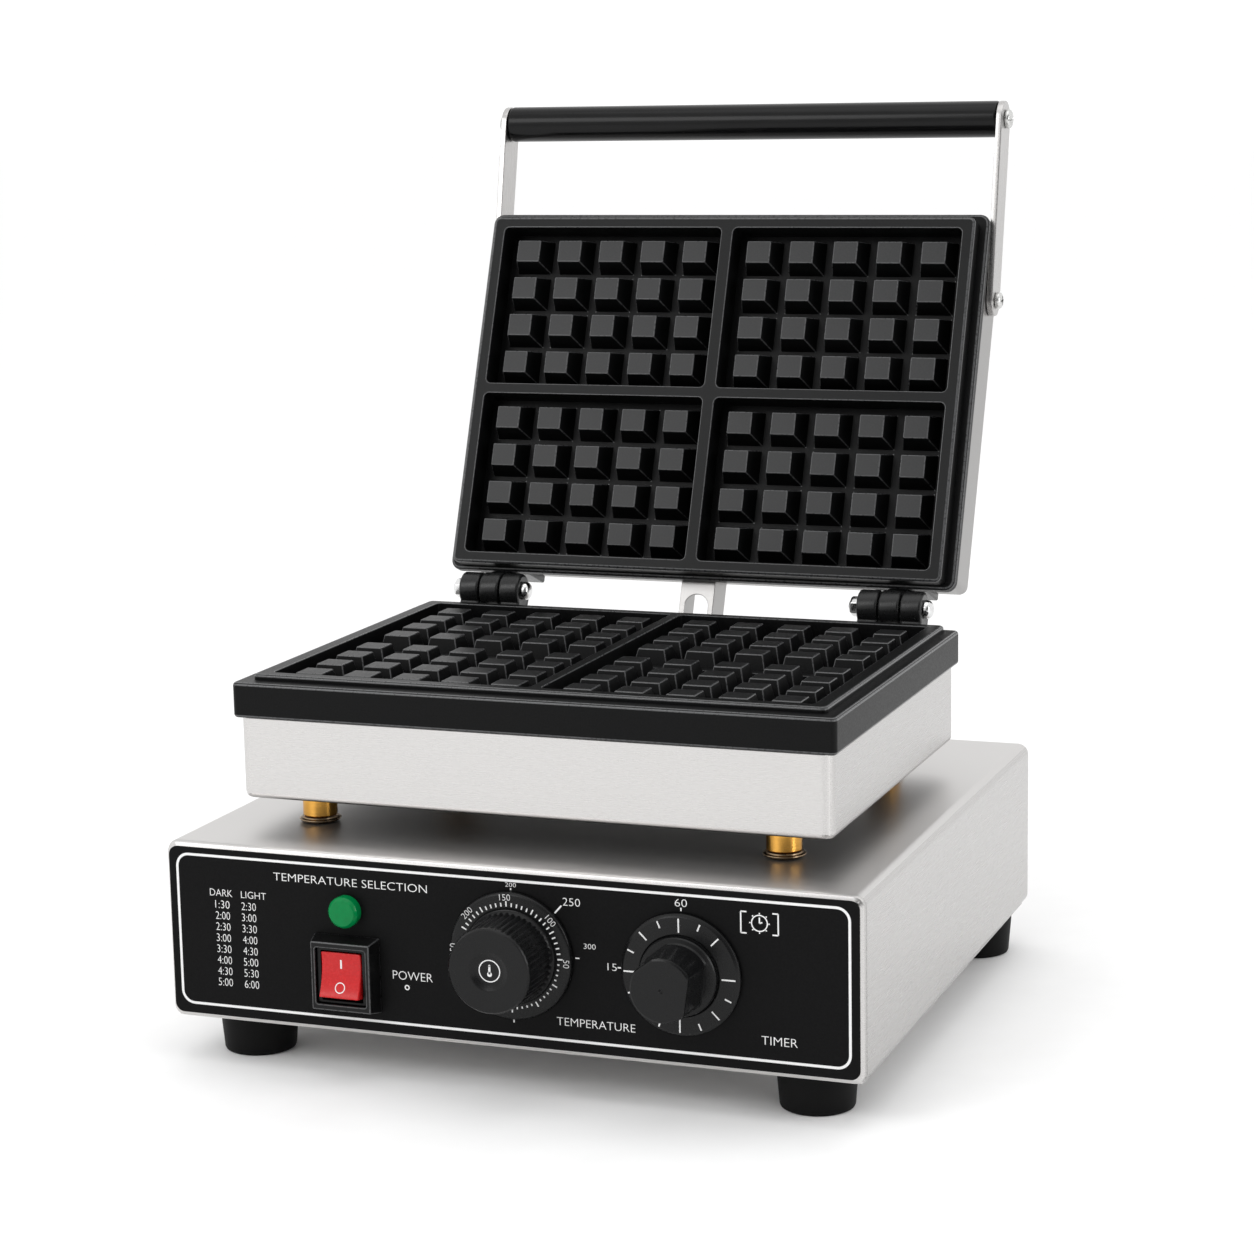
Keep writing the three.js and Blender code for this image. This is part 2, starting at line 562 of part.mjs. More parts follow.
// ---- hinges ------------------------------------------------------------------------------
/** Fixed half: a leaf on the casting's rear face and two knuckles. */
function hingeLower(centre) {
  const { y, z, radius, knuckle, play, bolt } = HINGE;
  const half = knuckle * 1.5 + play;
  const leafFront = PLATE.rear + GAP;
  const leaf = box(centre - half, centre + half, leafFront, leafFront + 4.5, 147, 157.5, 1);
  const cheek = new THREE.Shape();
  cheek.moveTo(leafFront, 150);
  cheek.lineTo(y + 2, 152);
  cheek.lineTo(y + radius, z - 4);
  cheek.absarc(y, z, radius, -0.2, Math.PI * 1.2);
  cheek.lineTo(leafFront, 158.5);
  const ear = (from) => sweep(cheek, 'x', from, from + knuckle, { bevel: 0.8, curve: 8 });
  const bore = rod(bolt + 0.15, 'x', centre - 40, centre + 40, [y, z], 20);
  return cut(join(leaf, ear(centre - half), ear(centre + half - knuckle)), bore);
}

/** Lid half: the middle knuckle, its arm and a leaf on the lid box's rear wall. */
function hingeUpper(centre) {
  const { y, z, radius, knuckle, bolt } = HINGE;
  const leafRear = LID_BOX.rear + GAP;
  const half = knuckle / 2;
  const arm = new THREE.Shape();
  const high = LID.rim + LID.flange + LID.flangeThick + GAP;
  arm.moveTo(leafRear + 4, high + 8);
  arm.lineTo(leafRear, high + 8);
  arm.lineTo(leafRear, high);
  arm.lineTo(LID_EDGE.rear + GAP, high);
  arm.lineTo(LID_EDGE.rear + GAP, z + 5);
  arm.absarc(y, z, radius, Math.PI * 0.86, Math.PI * 0.22 + Math.PI * 2);
  const web = sweep(arm, 'x', centre - half, centre + half, { bevel: 0.8, curve: 8 });
  const leaf = box(centre - 13, centre + 13, leafRear, leafRear + 4, high, high + 20, 1);
  const bore = rod(bolt + 0.15, 'x', centre - 40, centre + 40, [y, z], 20);
  return cut(join(web, leaf), bore);
}

/** Hinge bolt: domed head on its right, thread end on its left. */
function hingeBolt(centre) {
  const half = HINGE.knuckle * 1.5 + HINGE.play;
  const profile = [[0, -half - 5], [HINGE.bolt, -half - 5], [HINGE.bolt, half + GAP],
    [4.4, half + GAP], [4.4, half + 1.4], [3.9, half + 2.8], [2.4, half + 3.9], [0, half + 4.3]];
  return turned(profile, 'x', [centre, HINGE.y, HINGE.z], 16);
}

function hingeNut(centre) {
  const face = -HINGE.knuckle * 1.5 - HINGE.play - GAP;
  const bore = (HINGE.bolt + 0.2) / Math.cos(Math.PI / 6); // corner radius of the six-sided hole
  const profile = [[bore, face - 4], [4.2, face - 4], [4.9, face - 3], [4.9, face], [bore, face],
    [bore, face - 4]];
  return turned(profile, 'x', [centre, HINGE.y, HINGE.z], 6);
}

function addHinges() {
  for (const [side, sign] of SIDES) {
    const centre = sign * HINGE.x;
    piece(`hinge_lower_${side}`, hingeLower(centre), hingeIron);
    piece(`hinge_upper_${side}`, hingeUpper(centre), hingeIron, lid);
    piece(`hinge_bolt_${side}`, hingeBolt(centre), brightSteel);
    piece(`hinge_nut_${side}`, hingeNut(centre), brightSteel);
  }
}

// ---- controls ----------------------------------------------------------------------------
const panelFront = -GAP - PANEL.thick;

/** Knob with a dial skirt, a grip and a blind bore for its spindle. Heights run along +y. */
function knob(at, { skirt, grip, gripLength }, flat) {
  const back = panelFront - 0.4;
  const front = back - 3;
  const face = front - gripLength;
  const bore = 3.2;
  const profile = [
    [0, face + 0.5], [grip - 3.5, face + 0.5], [grip - 2.6, face], [grip - 1, face],
    [grip, face + 1], [grip + 0.4, front - 1], [grip + 2, front], [skirt - 2, front],
    [skirt, front + 1.6], [skirt, back], [bore, back], [bore, face + 6], [0, face + 6],
  ];
  const body = turned(profile, 'y', [at.x, 0, at.z], 36);
  if (!flat) return closedGeometry(body);
  const shave = box(at.x + grip * flat, at.x + 60, face - 5, front - 0.5, at.z - 60, at.z + 60);
  return cut(body, shave);
}

function spindle(at, { gripLength }) {
  const from = panelFront - 3.4 - gripLength + 6.5;
  return rod(2.9, 'y', from, 10, [at.x, at.z]);
}

/** Switching unit behind the panel: threaded bush in the hole, drum inside. */
function rotaryBody(at, radius, depth) {
  const bush = 4.8;
  const bore = 3.2;
  const start = BASE.sheet + GAP;
  const profile = [
    [0, 11], [bore, 11], [bore, panelFront], [bush, panelFront], [bush, start], [radius - 1, start],
    [radius, start + 1], [radius, depth - 1], [radius - 1, depth], [0, depth],
  ];
  return closedGeometry(turned(profile, 'y', [at.x, 0, at.z], 24));
}

function switchSurround() {
  const { x, z, width, height, proud } = SWITCH;
  const back = panelFront - GAP;
  const collar = taperedBlock(0, 0, 0, proud, [width / 2, height / 2], [width / 2 - 1.6, height / 2 - 1.6]);
  collar.applyMatrix4(AXES.y).translate(x, back, z);
  const halfX = SWITCH.rockerX + 2.4;
  const halfZ = SWITCH.rockerZ + 2.6;
  const window = roundedRect(x - halfX, z - halfZ, x + halfX, z + halfZ, 1);
  return cut(collar, sweep(window, 'y', -60, 60));
}

function switchBody() {
  const { x, z, proud, rockerX, rockerZ } = SWITCH;
  const halfX = rockerX + 2.1;
  const halfZ = rockerZ + 2.3;
  const front = panelFront - proud + 1.4;
  const outer = sweep(roundedRect(x - halfX, z - halfZ, x + halfX, z + halfZ, 0.8), 'y', front, 24);
  const well = sweep(
    roundedRect(x - rockerX - 0.35, z - rockerZ - 1.2, x + rockerX + 0.35, z + rockerZ + 1.2, 0.4),
    'y', front - 10, 6);
  return cut(outer, well);
}

/** Rocker in its rest place: the top half lies level and the bottom half stands proud. */
function switchRocker() {
  const { x, z, rockerX, rockerZ, tilt, proud } = SWITCH;
  const pivotY = ROCKER_PIVOT;
  const crest = panelFront - proud + 0.6 - pivotY; // front of the middle line, from the pivot
  const rise = Math.tan(THREE.MathUtils.degToRad(tilt)) * rockerZ;
  const outline = polygon([
    [crest - rise, rockerZ], [crest, 0], [crest - rise, -rockerZ],
    [crest + 3.2, -rockerZ], [5.5, -3.5], [5.5, 3.5], [crest + 3.2, rockerZ],
  ]);
  const body = sweep(outline, 'x', -rockerX, rockerX, { bevel: 0.4, steps: 1 });
  return body.rotateX(-THREE.MathUtils.degToRad(tilt)).translate(x, pivotY, z);
}

function indicatorLens() {
  const { x, z, radius, proud } = LAMP;
  const back = panelFront - GAP;
  const front = back - proud;
  const profile = [[0, front], [radius * 0.55, front + 0.3], [radius * 0.85, front + 1],
    [radius, front + 2.2], [radius, back], [4.6, back], [4.6, 1.2], [0, 1.2]];
  return turned(profile, 'y', [x, 0, z], 28);
}

function indicatorBody() {
  const start = BASE.sheet + GAP;
  const profile = [[0, start], [7, start], [7, start + 3], [5.5, start + 4], [5.5, 22], [0, 22]];
  return turned(profile, 'y', [LAMP.x, 0, LAMP.z], 24);
}

/** Cord inlet: a domed gland outside the rear plate. Its bore runs right through. */
function cableGland() {
  const wall = BASE.depth - 1.6 + GAP;
  const { x, z, bore } = GLAND;
  const profile = [[bore, wall - 9], [7, wall - 9], [7, wall], [11, wall], [11, wall + 6],
    [9.5, wall + 7], [8.4, wall + 14], [6.6, wall + 16], [bore, wall + 16], [bore, wall - 9]];
  return turned(profile, 'y', [x, 0, z], 20);
}

function glandNut() {
  const wall = BASE.depth - 3 - GAP;
  const bore = 8.4;
  const profile = [[bore, wall - 5], [11, wall - 5], [11, wall], [bore, wall], [bore, wall - 5]];
  return turned(profile, 'y', [GLAND.x, 0, GLAND.z], 6);
}

/** Mains terminal strip: a rail with six raised ways. */
function terminalBlock() {
  const floor = BASE.bottom + 1.2 + 2 * GAP;
  const { left, right, front, rear, ways, pitch, halfWay } = TERMINALS;
  const rail = box(left, right, front, rear, floor, floor + 9);
  const raised = Array.from({ length: ways }, (_, i) => {
    const x = left + (i + 0.5) * pitch;
    return box(x - halfWay, x + halfWay, front + 3, rear - 3, floor + 8, floor + 16);
  });
  return join(rail, ...raised);
}

function addControls() {
  piece('switch_surround', switchSurround(), blackPlastic);
  piece('switch_body', switchBody(), blackPlastic);
  piece('switch_rocker', switchRocker(), rockerRed);
  piece('indicator_lens', indicatorLens(), lensGreen);
  piece('indicator_body', indicatorBody(), blackPlastic);
  piece('thermostat_body', rotaryBody(THERMOSTAT, 20, 30), blackPlastic);
  piece('thermostat_spindle', spindle(THERMOSTAT, THERMOSTAT), brightSteel);
  piece('thermostat_knob', knob(THERMOSTAT, THERMOSTAT), blackPlastic);
  piece('timer_body', rotaryBody(TIMER, 24, 44), blackPlastic);
  piece('timer_spindle', spindle(TIMER, TIMER), brightSteel);
  piece('timer_knob', knob(TIMER, TIMER, 0.72), blackPlastic);
  piece('cable_gland', cableGland(), blackPlastic);
  piece('gland_nut', glandNut(), blackPlastic);
  piece('terminal_block', terminalBlock(), blackPlastic);
}

addControlBox();
addLowerGrill();
addLid();
addHinges();
addControls();
machine.position.y = ROW_SHIFT_Y;

const group = new THREE.Group();
group.add(machine);
export default group;
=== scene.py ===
"""Looks of a four-pocket waffle maker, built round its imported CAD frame. Metres, +X right, +Y back, +Z up."""
import json
import math

import bmesh
import bpy
from mathutils import Matrix, Vector


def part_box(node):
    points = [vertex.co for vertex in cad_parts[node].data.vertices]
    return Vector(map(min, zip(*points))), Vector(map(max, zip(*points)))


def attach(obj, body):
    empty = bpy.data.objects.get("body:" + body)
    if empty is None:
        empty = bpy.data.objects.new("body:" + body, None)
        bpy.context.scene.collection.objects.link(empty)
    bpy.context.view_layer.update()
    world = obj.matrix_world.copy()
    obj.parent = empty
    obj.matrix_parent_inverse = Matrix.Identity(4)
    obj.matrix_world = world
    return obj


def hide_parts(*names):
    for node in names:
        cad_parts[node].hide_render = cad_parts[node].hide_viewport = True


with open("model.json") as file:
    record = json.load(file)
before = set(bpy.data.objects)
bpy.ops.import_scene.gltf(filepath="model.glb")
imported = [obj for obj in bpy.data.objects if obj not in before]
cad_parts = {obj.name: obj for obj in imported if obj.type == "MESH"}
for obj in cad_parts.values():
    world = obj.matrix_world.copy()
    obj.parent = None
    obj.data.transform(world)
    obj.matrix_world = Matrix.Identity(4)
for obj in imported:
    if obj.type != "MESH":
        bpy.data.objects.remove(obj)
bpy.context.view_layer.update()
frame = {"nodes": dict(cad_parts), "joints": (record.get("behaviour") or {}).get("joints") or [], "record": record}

NODE_BODY = {node: body for body, nodes in frame["record"]["behaviour"]["bodies"].items() for node in nodes}
NODE_SLOT = {part["node"]: part["material_slot"] for part in frame["record"]["subparts"]}
SIDES = (("left", -1), ("right", 1))
CORNERS = [f"{end}_{side}" for end in ("front", "rear") for side, _ in SIDES]

# The lid's pieces are made in their closed place, then turned open about the hinge.
LID_JOINT = next(joint for joint in frame["joints"] if joint["child"] == "lid")
HINGE = Vector(LID_JOINT["pos_m"])
OPENING = math.radians(LID_JOINT["range_deg"][1])
OPEN = Matrix.Translation(HINGE) @ Matrix.Rotation(-OPENING, 4, "X") @ Matrix.Translation(-HINGE)
AT_REST = Matrix.Identity(4)

# Heights along a turned piece run along +Z. These matrices lay that axis along another one.
ALONG = {
    "+x": Matrix.Rotation(math.radians(90), 4, "Y"),
    "-x": Matrix.Rotation(math.radians(-90), 4, "Y"),
    "-y": Matrix.Rotation(math.radians(90), 4, "X"),
    "+y": Matrix.Rotation(math.radians(-90), 4, "X"),
    "+z": Matrix.Identity(4),
}
PRINT_THICK = 0.00005
PRINT_GAP = 0.00001
SHEET = 0.0014
DIAL_DISC = 0.003
DIAL_BORE = 0.0032
DIAL_BORE_DEPTH = 0.006


def placing(node):
    """The matrix from a node's building place to its place at rest."""
    return OPEN if NODE_BODY[node] == "lid" else AT_REST


def built_box(node):
    """Lowest and highest corner of a CAD node in its building place, the closed one for the lid."""
    if NODE_BODY[node] != "lid":
        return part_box(node)
    back = OPEN.inverted()
    points = [back @ vertex.co for vertex in frame["nodes"][node].data.vertices]
    low = Vector(min(point[k] for point in points) for k in range(3))
    high = Vector(max(point[k] for point in points) for k in range(3))
    return low, high


# ---- materials ---------------------------------------------------------------------------------
def shader(name):
    material = bpy.data.materials.new(name)
    material.use_nodes = True
    tree = material.node_tree
    return material, tree, tree.nodes["Principled BSDF"]


def grain(tree, scale, detail):
    """Noise in the object's own metres, stretched by a scale for each axis."""
    place = tree.nodes.new("ShaderNodeTexCoord")
    stretch = tree.nodes.new("ShaderNodeMapping")
    stretch.inputs["Scale"].default_value = scale
    noise = tree.nodes.new("ShaderNodeTexNoise")
    noise.inputs["Scale"].default_value = 1.0
    noise.inputs["Detail"].default_value = detail
    tree.links.new(place.outputs["Object"], stretch.inputs["Vector"])
    tree.links.new(stretch.outputs["Vector"], noise.inputs["Vector"])
    return noise.outputs["Fac"]


def surface(name, color, roughness, *, spread=0.15, rough_spread=0.06, metallic=0.0, specular=0.5,
            coat=0.0, coat_roughness=0.15, scale=(900, 900, 900), detail=3.0, bump=0.15, depth=0.0001):
    """A finish whose colour, roughness and height follow one grain."""
    material, tree, principled = shader(name)
    fac = grain(tree, scale, detail)
    ramp = tree.nodes.new("ShaderNodeValToRGB")
    for stop, place, share in ((0, 0.32, 1 - spread), (1, 0.68, 1 + spread)):
        ramp.color_ramp.elements[stop].position = place
        ramp.color_ramp.elements[stop].color = (*[min(1, channel * share) for channel in color], 1)
    tree.links.new(fac, ramp.inputs["Fac"])
    tree.links.new(ramp.outputs["Color"], principled.inputs["Base Color"])
    polish = tree.nodes.new("ShaderNodeMapRange")
    polish.inputs["From Min"].default_value = 0.3
    polish.inputs["From Max"].default_value = 0.7
    polish.inputs["To Min"].default_value = roughness - rough_spread
    polish.inputs["To Max"].default_value = roughness + rough_spread
    tree.links.new(fac, polish.inputs["Value"])
    tree.links.new(polish.outputs["Result"], principled.inputs["Roughness"])
    relief = tree.nodes.new("ShaderNodeBump")
    relief.inputs["Strength"].default_value = bump
    relief.inputs["Distance"].default_value = depth
    tree.links.new(fac, relief.inputs["Height"])
    tree.links.new(relief.outputs["Normal"], principled.inputs["Normal"])
    principled.inputs["Metallic"].default_value = metallic
    principled.inputs["Specular IOR Level"].default_value = specular
    principled.inputs["Coat Weight"].default_value = coat
    principled.inputs["Coat Roughness"].default_value = coat_roughness
    return material


def brushed(name, scale, shine=0.60, roughness=0.28):
    """Satin stainless sheet: long fine scratches along the axis with the LONG scale."""
    return surface(name, (shine, shine * 0.98, shine * 0.965), roughness, spread=0.02, rough_spread=0.03,
                   metallic=1.0, scale=scale, detail=3.0, bump=0.07, depth=0.00003)


# Noise scales across and along the scratches of brushed steel, per metre.
FINE, LONG = 2600, 35
STEEL_X = brushed("steel_brushed_x", (LONG, FINE, FINE))
# Steel brushed along Y and painted darker than the top's steel, as shade on faces along X.
STEEL_Y_SHADED = brushed("steel_brushed_y_painted_shade", (FINE, LONG, FINE), 0.50)
STEEL_Z = brushed("steel_brushed_z", (FINE, FINE, LONG), 0.48)
STEEL_TOP = brushed("steel_brushed_top", (LONG, FINE, FINE), 0.60, 0.40)
# Darker steel for the lid housing's sides and rear wall and the stop bracket: painted shade.
STEEL_LID_SHADED = brushed("steel_lid_wall_painted_shade", (LONG, FINE, FINE), 0.34, 0.34)
PANEL = surface("panel_black", (0.0052, 0.0052, 0.0054), 0.46, spread=0.2, specular=0.07,
                scale=(1400, 1400, 1400), bump=0.12, depth=0.00003)
CAST_GRAIN = {"scale": (1300, 1300, 1300), "detail": 5.0, "bump": 0.3, "depth": 0.00008}
CAST = surface("cast_nonstick", (0.0042, 0.0043, 0.0045), 0.38, spread=0.3, specular=0.11, **CAST_GRAIN)
# Lighter, shinier cast finish on rounded convex edges: a painted highlight.
CAST_EDGE_HIGHLIGHT = surface("cast_edge_painted_highlight", (0.050, 0.051, 0.053), 0.30, spread=0.3, specular=0.6,
                    scale=(700, 700, 700), bump=0.2, depth=0.00006)
# Lighter cast finish for faces turned to the light: painted light.
CAST_FACE_LIT = surface("cast_rim_face_painted_light", (0.008, 0.0082, 0.0085), 0.40, spread=0.2, specular=0.15, **CAST_GRAIN)
# Lighter still, for the lid's stud tops: painted light.
STUD_TOP_LIT = surface("cast_stud_top_painted_light", (0.024, 0.0244, 0.0251), 0.42, spread=0.18, specular=0.3, **CAST_GRAIN)
HINGE_IRON = surface("hinge_black_iron", (0.0075, 0.0077, 0.008), 0.30, spread=0.3, specular=0.35,
                     scale=(1100, 1100, 1100), bump=0.15, depth=0.00005)
RUBBER = surface("foot_rubber", (0.0036, 0.0036, 0.0036), 0.58, spread=0.25, specular=0.12,
                 scale=(2200, 2200, 2200), bump=0.4, depth=0.00008)
BRASS = surface("spacer_brass", (0.78, 0.41, 0.085), 0.25, spread=0.05, rough_spread=0.03, metallic=1.0,
                scale=(120, 120, 1500), bump=0.06, depth=0.00003)
WASHER = surface("washer_bronze", (0.30, 0.22, 0.14), 0.30, spread=0.10, metallic=1.0,
                 scale=(300, 300, 1500), bump=0.08, depth=0.00003)
# Near-black steel for the lower housing's underside: painted shade.
STEEL_UNDER_SHADE = surface("steel_underside_painted_shade", (0.10, 0.098, 0.096), 0.45, spread=0.08, metallic=1.0,
                      scale=(22, 1600, 1600), bump=0.15, depth=0.00004)
CHROME = surface("bolt_chrome", (0.72, 0.72, 0.72), 0.14, spread=0.05, rough_spread=0.04, metallic=1.0,
                 scale=(500, 500, 500), bump=0.05, depth=0.00003)
SCREW = surface("screw_steel", (0.60, 0.60, 0.59), 0.27, spread=0.08, metallic=1.0,
                scale=(900, 900, 900), bump=0.12, depth=0.00004)
GRIP_BLACK = surface("grip_gloss_black", (0.0030, 0.0030, 0.0032), 0.22, spread=0.3, rough_spread=0.04,
                     specular=0.16, coat=0.08, coat_roughness=0.12, scale=(60, 900, 900), bump=0.06,
                     depth=0.00004)
PLASTIC = surface("switch_black_plastic", (0.0048, 0.0048, 0.0050), 0.32, spread=0.25, specular=0.2,
                  scale=(2400, 2400, 2400), bump=0.25, depth=0.00004)
KNOB = surface("knob_satin_black", (0.0056, 0.0057, 0.0060), 0.28, spread=0.2, rough_spread=0.03,
               specular=0.22, scale=(2600, 2600, 2600), bump=0.2, depth=0.00003)
RED = surface("rocker_red", (0.56, 0.010, 0.012), 0.26, spread=0.05, specular=0.3, coat=0.1,
              scale=(700, 700, 700), bump=0.06, depth=0.00003)
GREEN = surface("lens_green", (0.0, 0.200, 0.052), 0.20, spread=0.06, rough_spread=0.03, specular=0.14,
                coat=0.06, coat_roughness=0.08, scale=(380, 380, 380), bump=0.04, depth=0.00003)
INK = surface("print_white", (0.86, 0.86, 0.86), 0.55, spread=0.05, specular=0.3,
              scale=(2500, 2500, 2500), bump=0.1, depth=0.00002)
SHEATH = surface("element_sheath", (0.16, 0.15, 0.14), 0.5, spread=0.3, metallic=1.0)
WOOL = surface("insulation_wool", (0.62, 0.58, 0.5), 0.9, spread=0.2, scale=(400, 400, 2500), bump=0.6,
               depth=0.0006)

SLOT_LOOK = {
    "brushed_steel": STEEL_X, "black_panel": PANEL, "foot_rubber": RUBBER, "screw_steel": SCREW,
    "bolt_chrome": CHROME, "spacer_brass": BRASS, "cast_plate": CAST, "hinge_casting": HINGE_IRON,
    "element_sheath": SHEATH, "insulation_board": WOOL, "handle_black": GRIP_BLACK, "switch_black": PLASTIC,
    "rocker_red": RED, "lens_green": GREEN, "knob_grey": KNOB,
}


# ---- mesh helpers ------------------------------------------------------------------------------
# A face looks along an axis where that part of its normal is above this.
FACING = 0.75


def loft(rings, closed=False):
    """Skins rings of equal length. A ring of one point closes that end in a tip."""
    bm = bmesh.new()
    made = [[bm.verts.new(point) for point in ring] for ring in rings]
    pairs = list(zip(made, made[1:]))
    if closed:
        pairs.append((made[-1], made[0]))
    for first, second in pairs:
        count = max(len(first), len(second))
        for k in range(count):
            after = (k + 1) % count
            corners = [first[k % len(first)], first[after % len(first)],
                       second[after % len(second)], second[k % len(second)]]
            corners = [v for i, v in enumerate(corners) if v not in corners[:i]]
            if len(corners) > 2:
                bm.faces.new(corners)
    if not closed:
        for ring in (made[0], made[-1]):
            if len(ring) > 1:
                bm.faces.new(ring)
    bmesh.ops.recalc_face_normals(bm, faces=bm.faces)
    return bm


def turned(profile, segments=72, closed=False, shape=None):
    """Revolves [radius, height, ...] points about Z. shape(angle, point) may vary the radius."""
    rings = []
    for point in profile:
        radius, height = point[:2]
        if radius == 0:
            rings.append([Vector((0, 0, height))])
            continue
        ring = []
        for k in range(segments):
            angle = 2 * math.pi * k / segments
            reach = shape(angle, point) if shape else radius
            ring.append(Vector((reach * math.cos(angle), reach * math.sin(angle), height)))
        rings.append(ring)
    return loft(rings, closed)


def rounded_outline(half_x, half_y, radius, steps=6):
    """Rounded rectangle about the origin, anticlockwise."""
    points = []
    for quarter, (sx, sy) in enumerate(((1, 1), (-1, 1), (-1, -1), (1, -1))):
        for k in range(steps + 1):
            angle = math.radians(90 * (quarter + k / steps))
            points.append((sx * (half_x - radius) + radius * math.cos(angle),
                           sy * (half_y - radius) + radius * math.sin(angle)))
    return points


def soften(bm, width, angle=30, segments=2, edge_material=None, pierced=False):
    """Rounds the edges sharper than an angle. With an edge material only convex edges are rounded, and the
    rounding takes that material. A pierced sheet keeps its triangles.
    """
    bmesh.ops.remove_doubles(bm, verts=bm.verts, dist=1e-6)
    if not pierced:
        bmesh.ops.dissolve_limit(bm, angle_limit=math.radians(0.6), verts=bm.verts, edges=bm.edges)
    limit = math.radians(angle)
    bmesh.ops.recalc_face_normals(bm, faces=bm.faces)
    sharp = [edge for edge in bm.edges if len(edge.link_faces) == 2 and edge.calc_face_angle() > limit
             and (edge_material is None or edge.is_convex)]
    bmesh.ops.bevel(bm, geom=sharp, offset=width, offset_type="OFFSET", segments=segments, profile=0.5,
                    affect="EDGES", clamp_overlap=False,
                    material=-1 if edge_material is None else edge_material)
    return bm


def cad_copy(node):
    """The CAD node's mesh in a new bmesh, at rest."""
    bm = bmesh.new()
    bm.from_mesh(frame["nodes"][node].data)
    for face in bm.faces:
        face.material_index = 0
    return bm


def add_piece(name, bm, looks, body, slot, *, matrix=AT_REST, nodes=(), smooth_angle=38):
    """Makes the piece, rides it on its body and hides the CAD nodes it stands for."""
    bmesh.ops.transform(bm, matrix=matrix, verts=bm.verts)
    bmesh.ops.recalc_face_normals(bm, faces=bm.faces)
    limit = math.radians(smooth_angle)
    for face in bm.faces:
        face.smooth = True
    for edge in bm.edges:
        edge.smooth = len(edge.link_faces) != 2 or edge.calc_face_angle() < limit
    mesh = bpy.data.meshes.new(name)
    bm.to_mesh(mesh)
    bm.free()
    for look in looks:
        mesh.materials.append(look)
    piece = bpy.data.objects.new(name, mesh)
    bpy.context.scene.collection.objects.link(piece)
    weights = piece.modifiers.new("weighted_normals", "WEIGHTED_NORMAL")
    weights.keep_sharp = True
    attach(piece, body)
    if nodes:
        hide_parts(*nodes)
    return piece


def stand_in(node, bm, looks=None, **options):
    """A piece that stands for one CAD node and takes its body and place from it, and its slot's finish unless
    looks are given.
    """
    looks = looks or [SLOT_LOOK[NODE_SLOT[node]]]
    return add_piece(f"{node}_detailed", bm, looks, NODE_BODY[node], NODE_SLOT[node], nodes=(node,),
                     **options)


def refined(node, width, looks=None, *, angle=30, segments=2, edge_material=None, grain_and_shade_by_face=False,
            pierced=False):
    """The CAD node's own shape with its edges rounded. By face, the sides and the top can differ in grain, and the
    sides then take darker steel as painted shade.
    """
    bm = soften(cad_copy(node), width, angle, segments, edge_material, pierced)
    if grain_and_shade_by_face:
        looks = [STEEL_X, STEEL_Y_SHADED, STEEL_TOP]
        for face in bm.faces:
            face.material_index = 1 if abs(face.normal.x) > FACING else (2 if face.normal.z > FACING else 0)
    return stand_in(node, bm, looks)


def cut_away(piece, tools):
    """Cuts closed tool meshes out of a piece and removes the tools."""
    for bm, matrix in tools:
        bmesh.ops.transform(bm, matrix=matrix, verts=bm.verts)
        bmesh.ops.recalc_face_normals(bm, faces=bm.faces)
        mesh = bpy.data.meshes.new("tool")
        bm.to_mesh(mesh)
        bm.free()
        tool = bpy.data.objects.new("tool", mesh)
        bpy.context.scene.collection.objects.link(tool)
        cut = piece.modifiers.new("cut", "BOOLEAN")
        cut.operation = "DIFFERENCE"
        cut.object = tool
        with bpy.context.temp_override(object=piece, active_object=piece, selected_objects=[piece]):
            bpy.ops.object.modifier_move_to_index(modifier="cut", index=0)
            bpy.ops.object.modifier_apply(modifier="cut")
        bpy.data.objects.remove(tool)


def block(low, high):
    bm = bmesh.new()
    low, high = Vector(low), Vector(high)
    bmesh.ops.create_cube(bm, size=1.0, matrix=Matrix.Translation((low + high) / 2)
                          @ Matrix.Diagonal((*(high - low), 1)))
    return bm


# ---- sheet metal -------------------------------------------------------------------------------
def tray(low, high, corner, fillet, wall, open_side):
    """Folded sheet box with rounded corners and a rounded closed edge, open at its top or bottom.

    Material 1 is the two sides, 2 the underside of a box open at the top, 3 the rear wall of one open below.
    """
    middle = (low + high) / 2
    half = (high - low) / 2
    tall = high.z - low.z
    steps = 6
    rings = []

    def ring(inset, height):
        radius = max(corner - inset, 0.0006)
        z = low.z + height if open_side == "top" else high.z - height
        outline = rounded_outline(half.x - inset, half.y - inset, radius)
        rings.append([Vector((middle.x + x, middle.y + y, z)) for x, y in outline])

    for k in range(steps + 1):
        angle = math.radians(90 * k / steps)
        ring(fillet * (1 - math.sin(angle)), fillet * (1 - math.cos(angle)))
    ring(0, tall)
    ring(wall, tall)
    inner = fillet - wall
    for k in range(steps + 1):
        angle = math.radians(90 * (1 - k / steps))
        ring(wall + inner * (1 - math.sin(angle)), wall + inner * (1 - math.cos(angle)))
    bm = loft(rings)
    for face in bm.faces:
        face.material_index = 1 if abs(face.normal.x) > FACING else 0
        if open_side == "top" and face.normal.z < -0.9 and face.calc_center_median().z < low.z + 0.0005:
            face.material_index = 2
        if open_side == "bottom" and face.normal.y > FACING:
            face.material_index = 3
    return bm


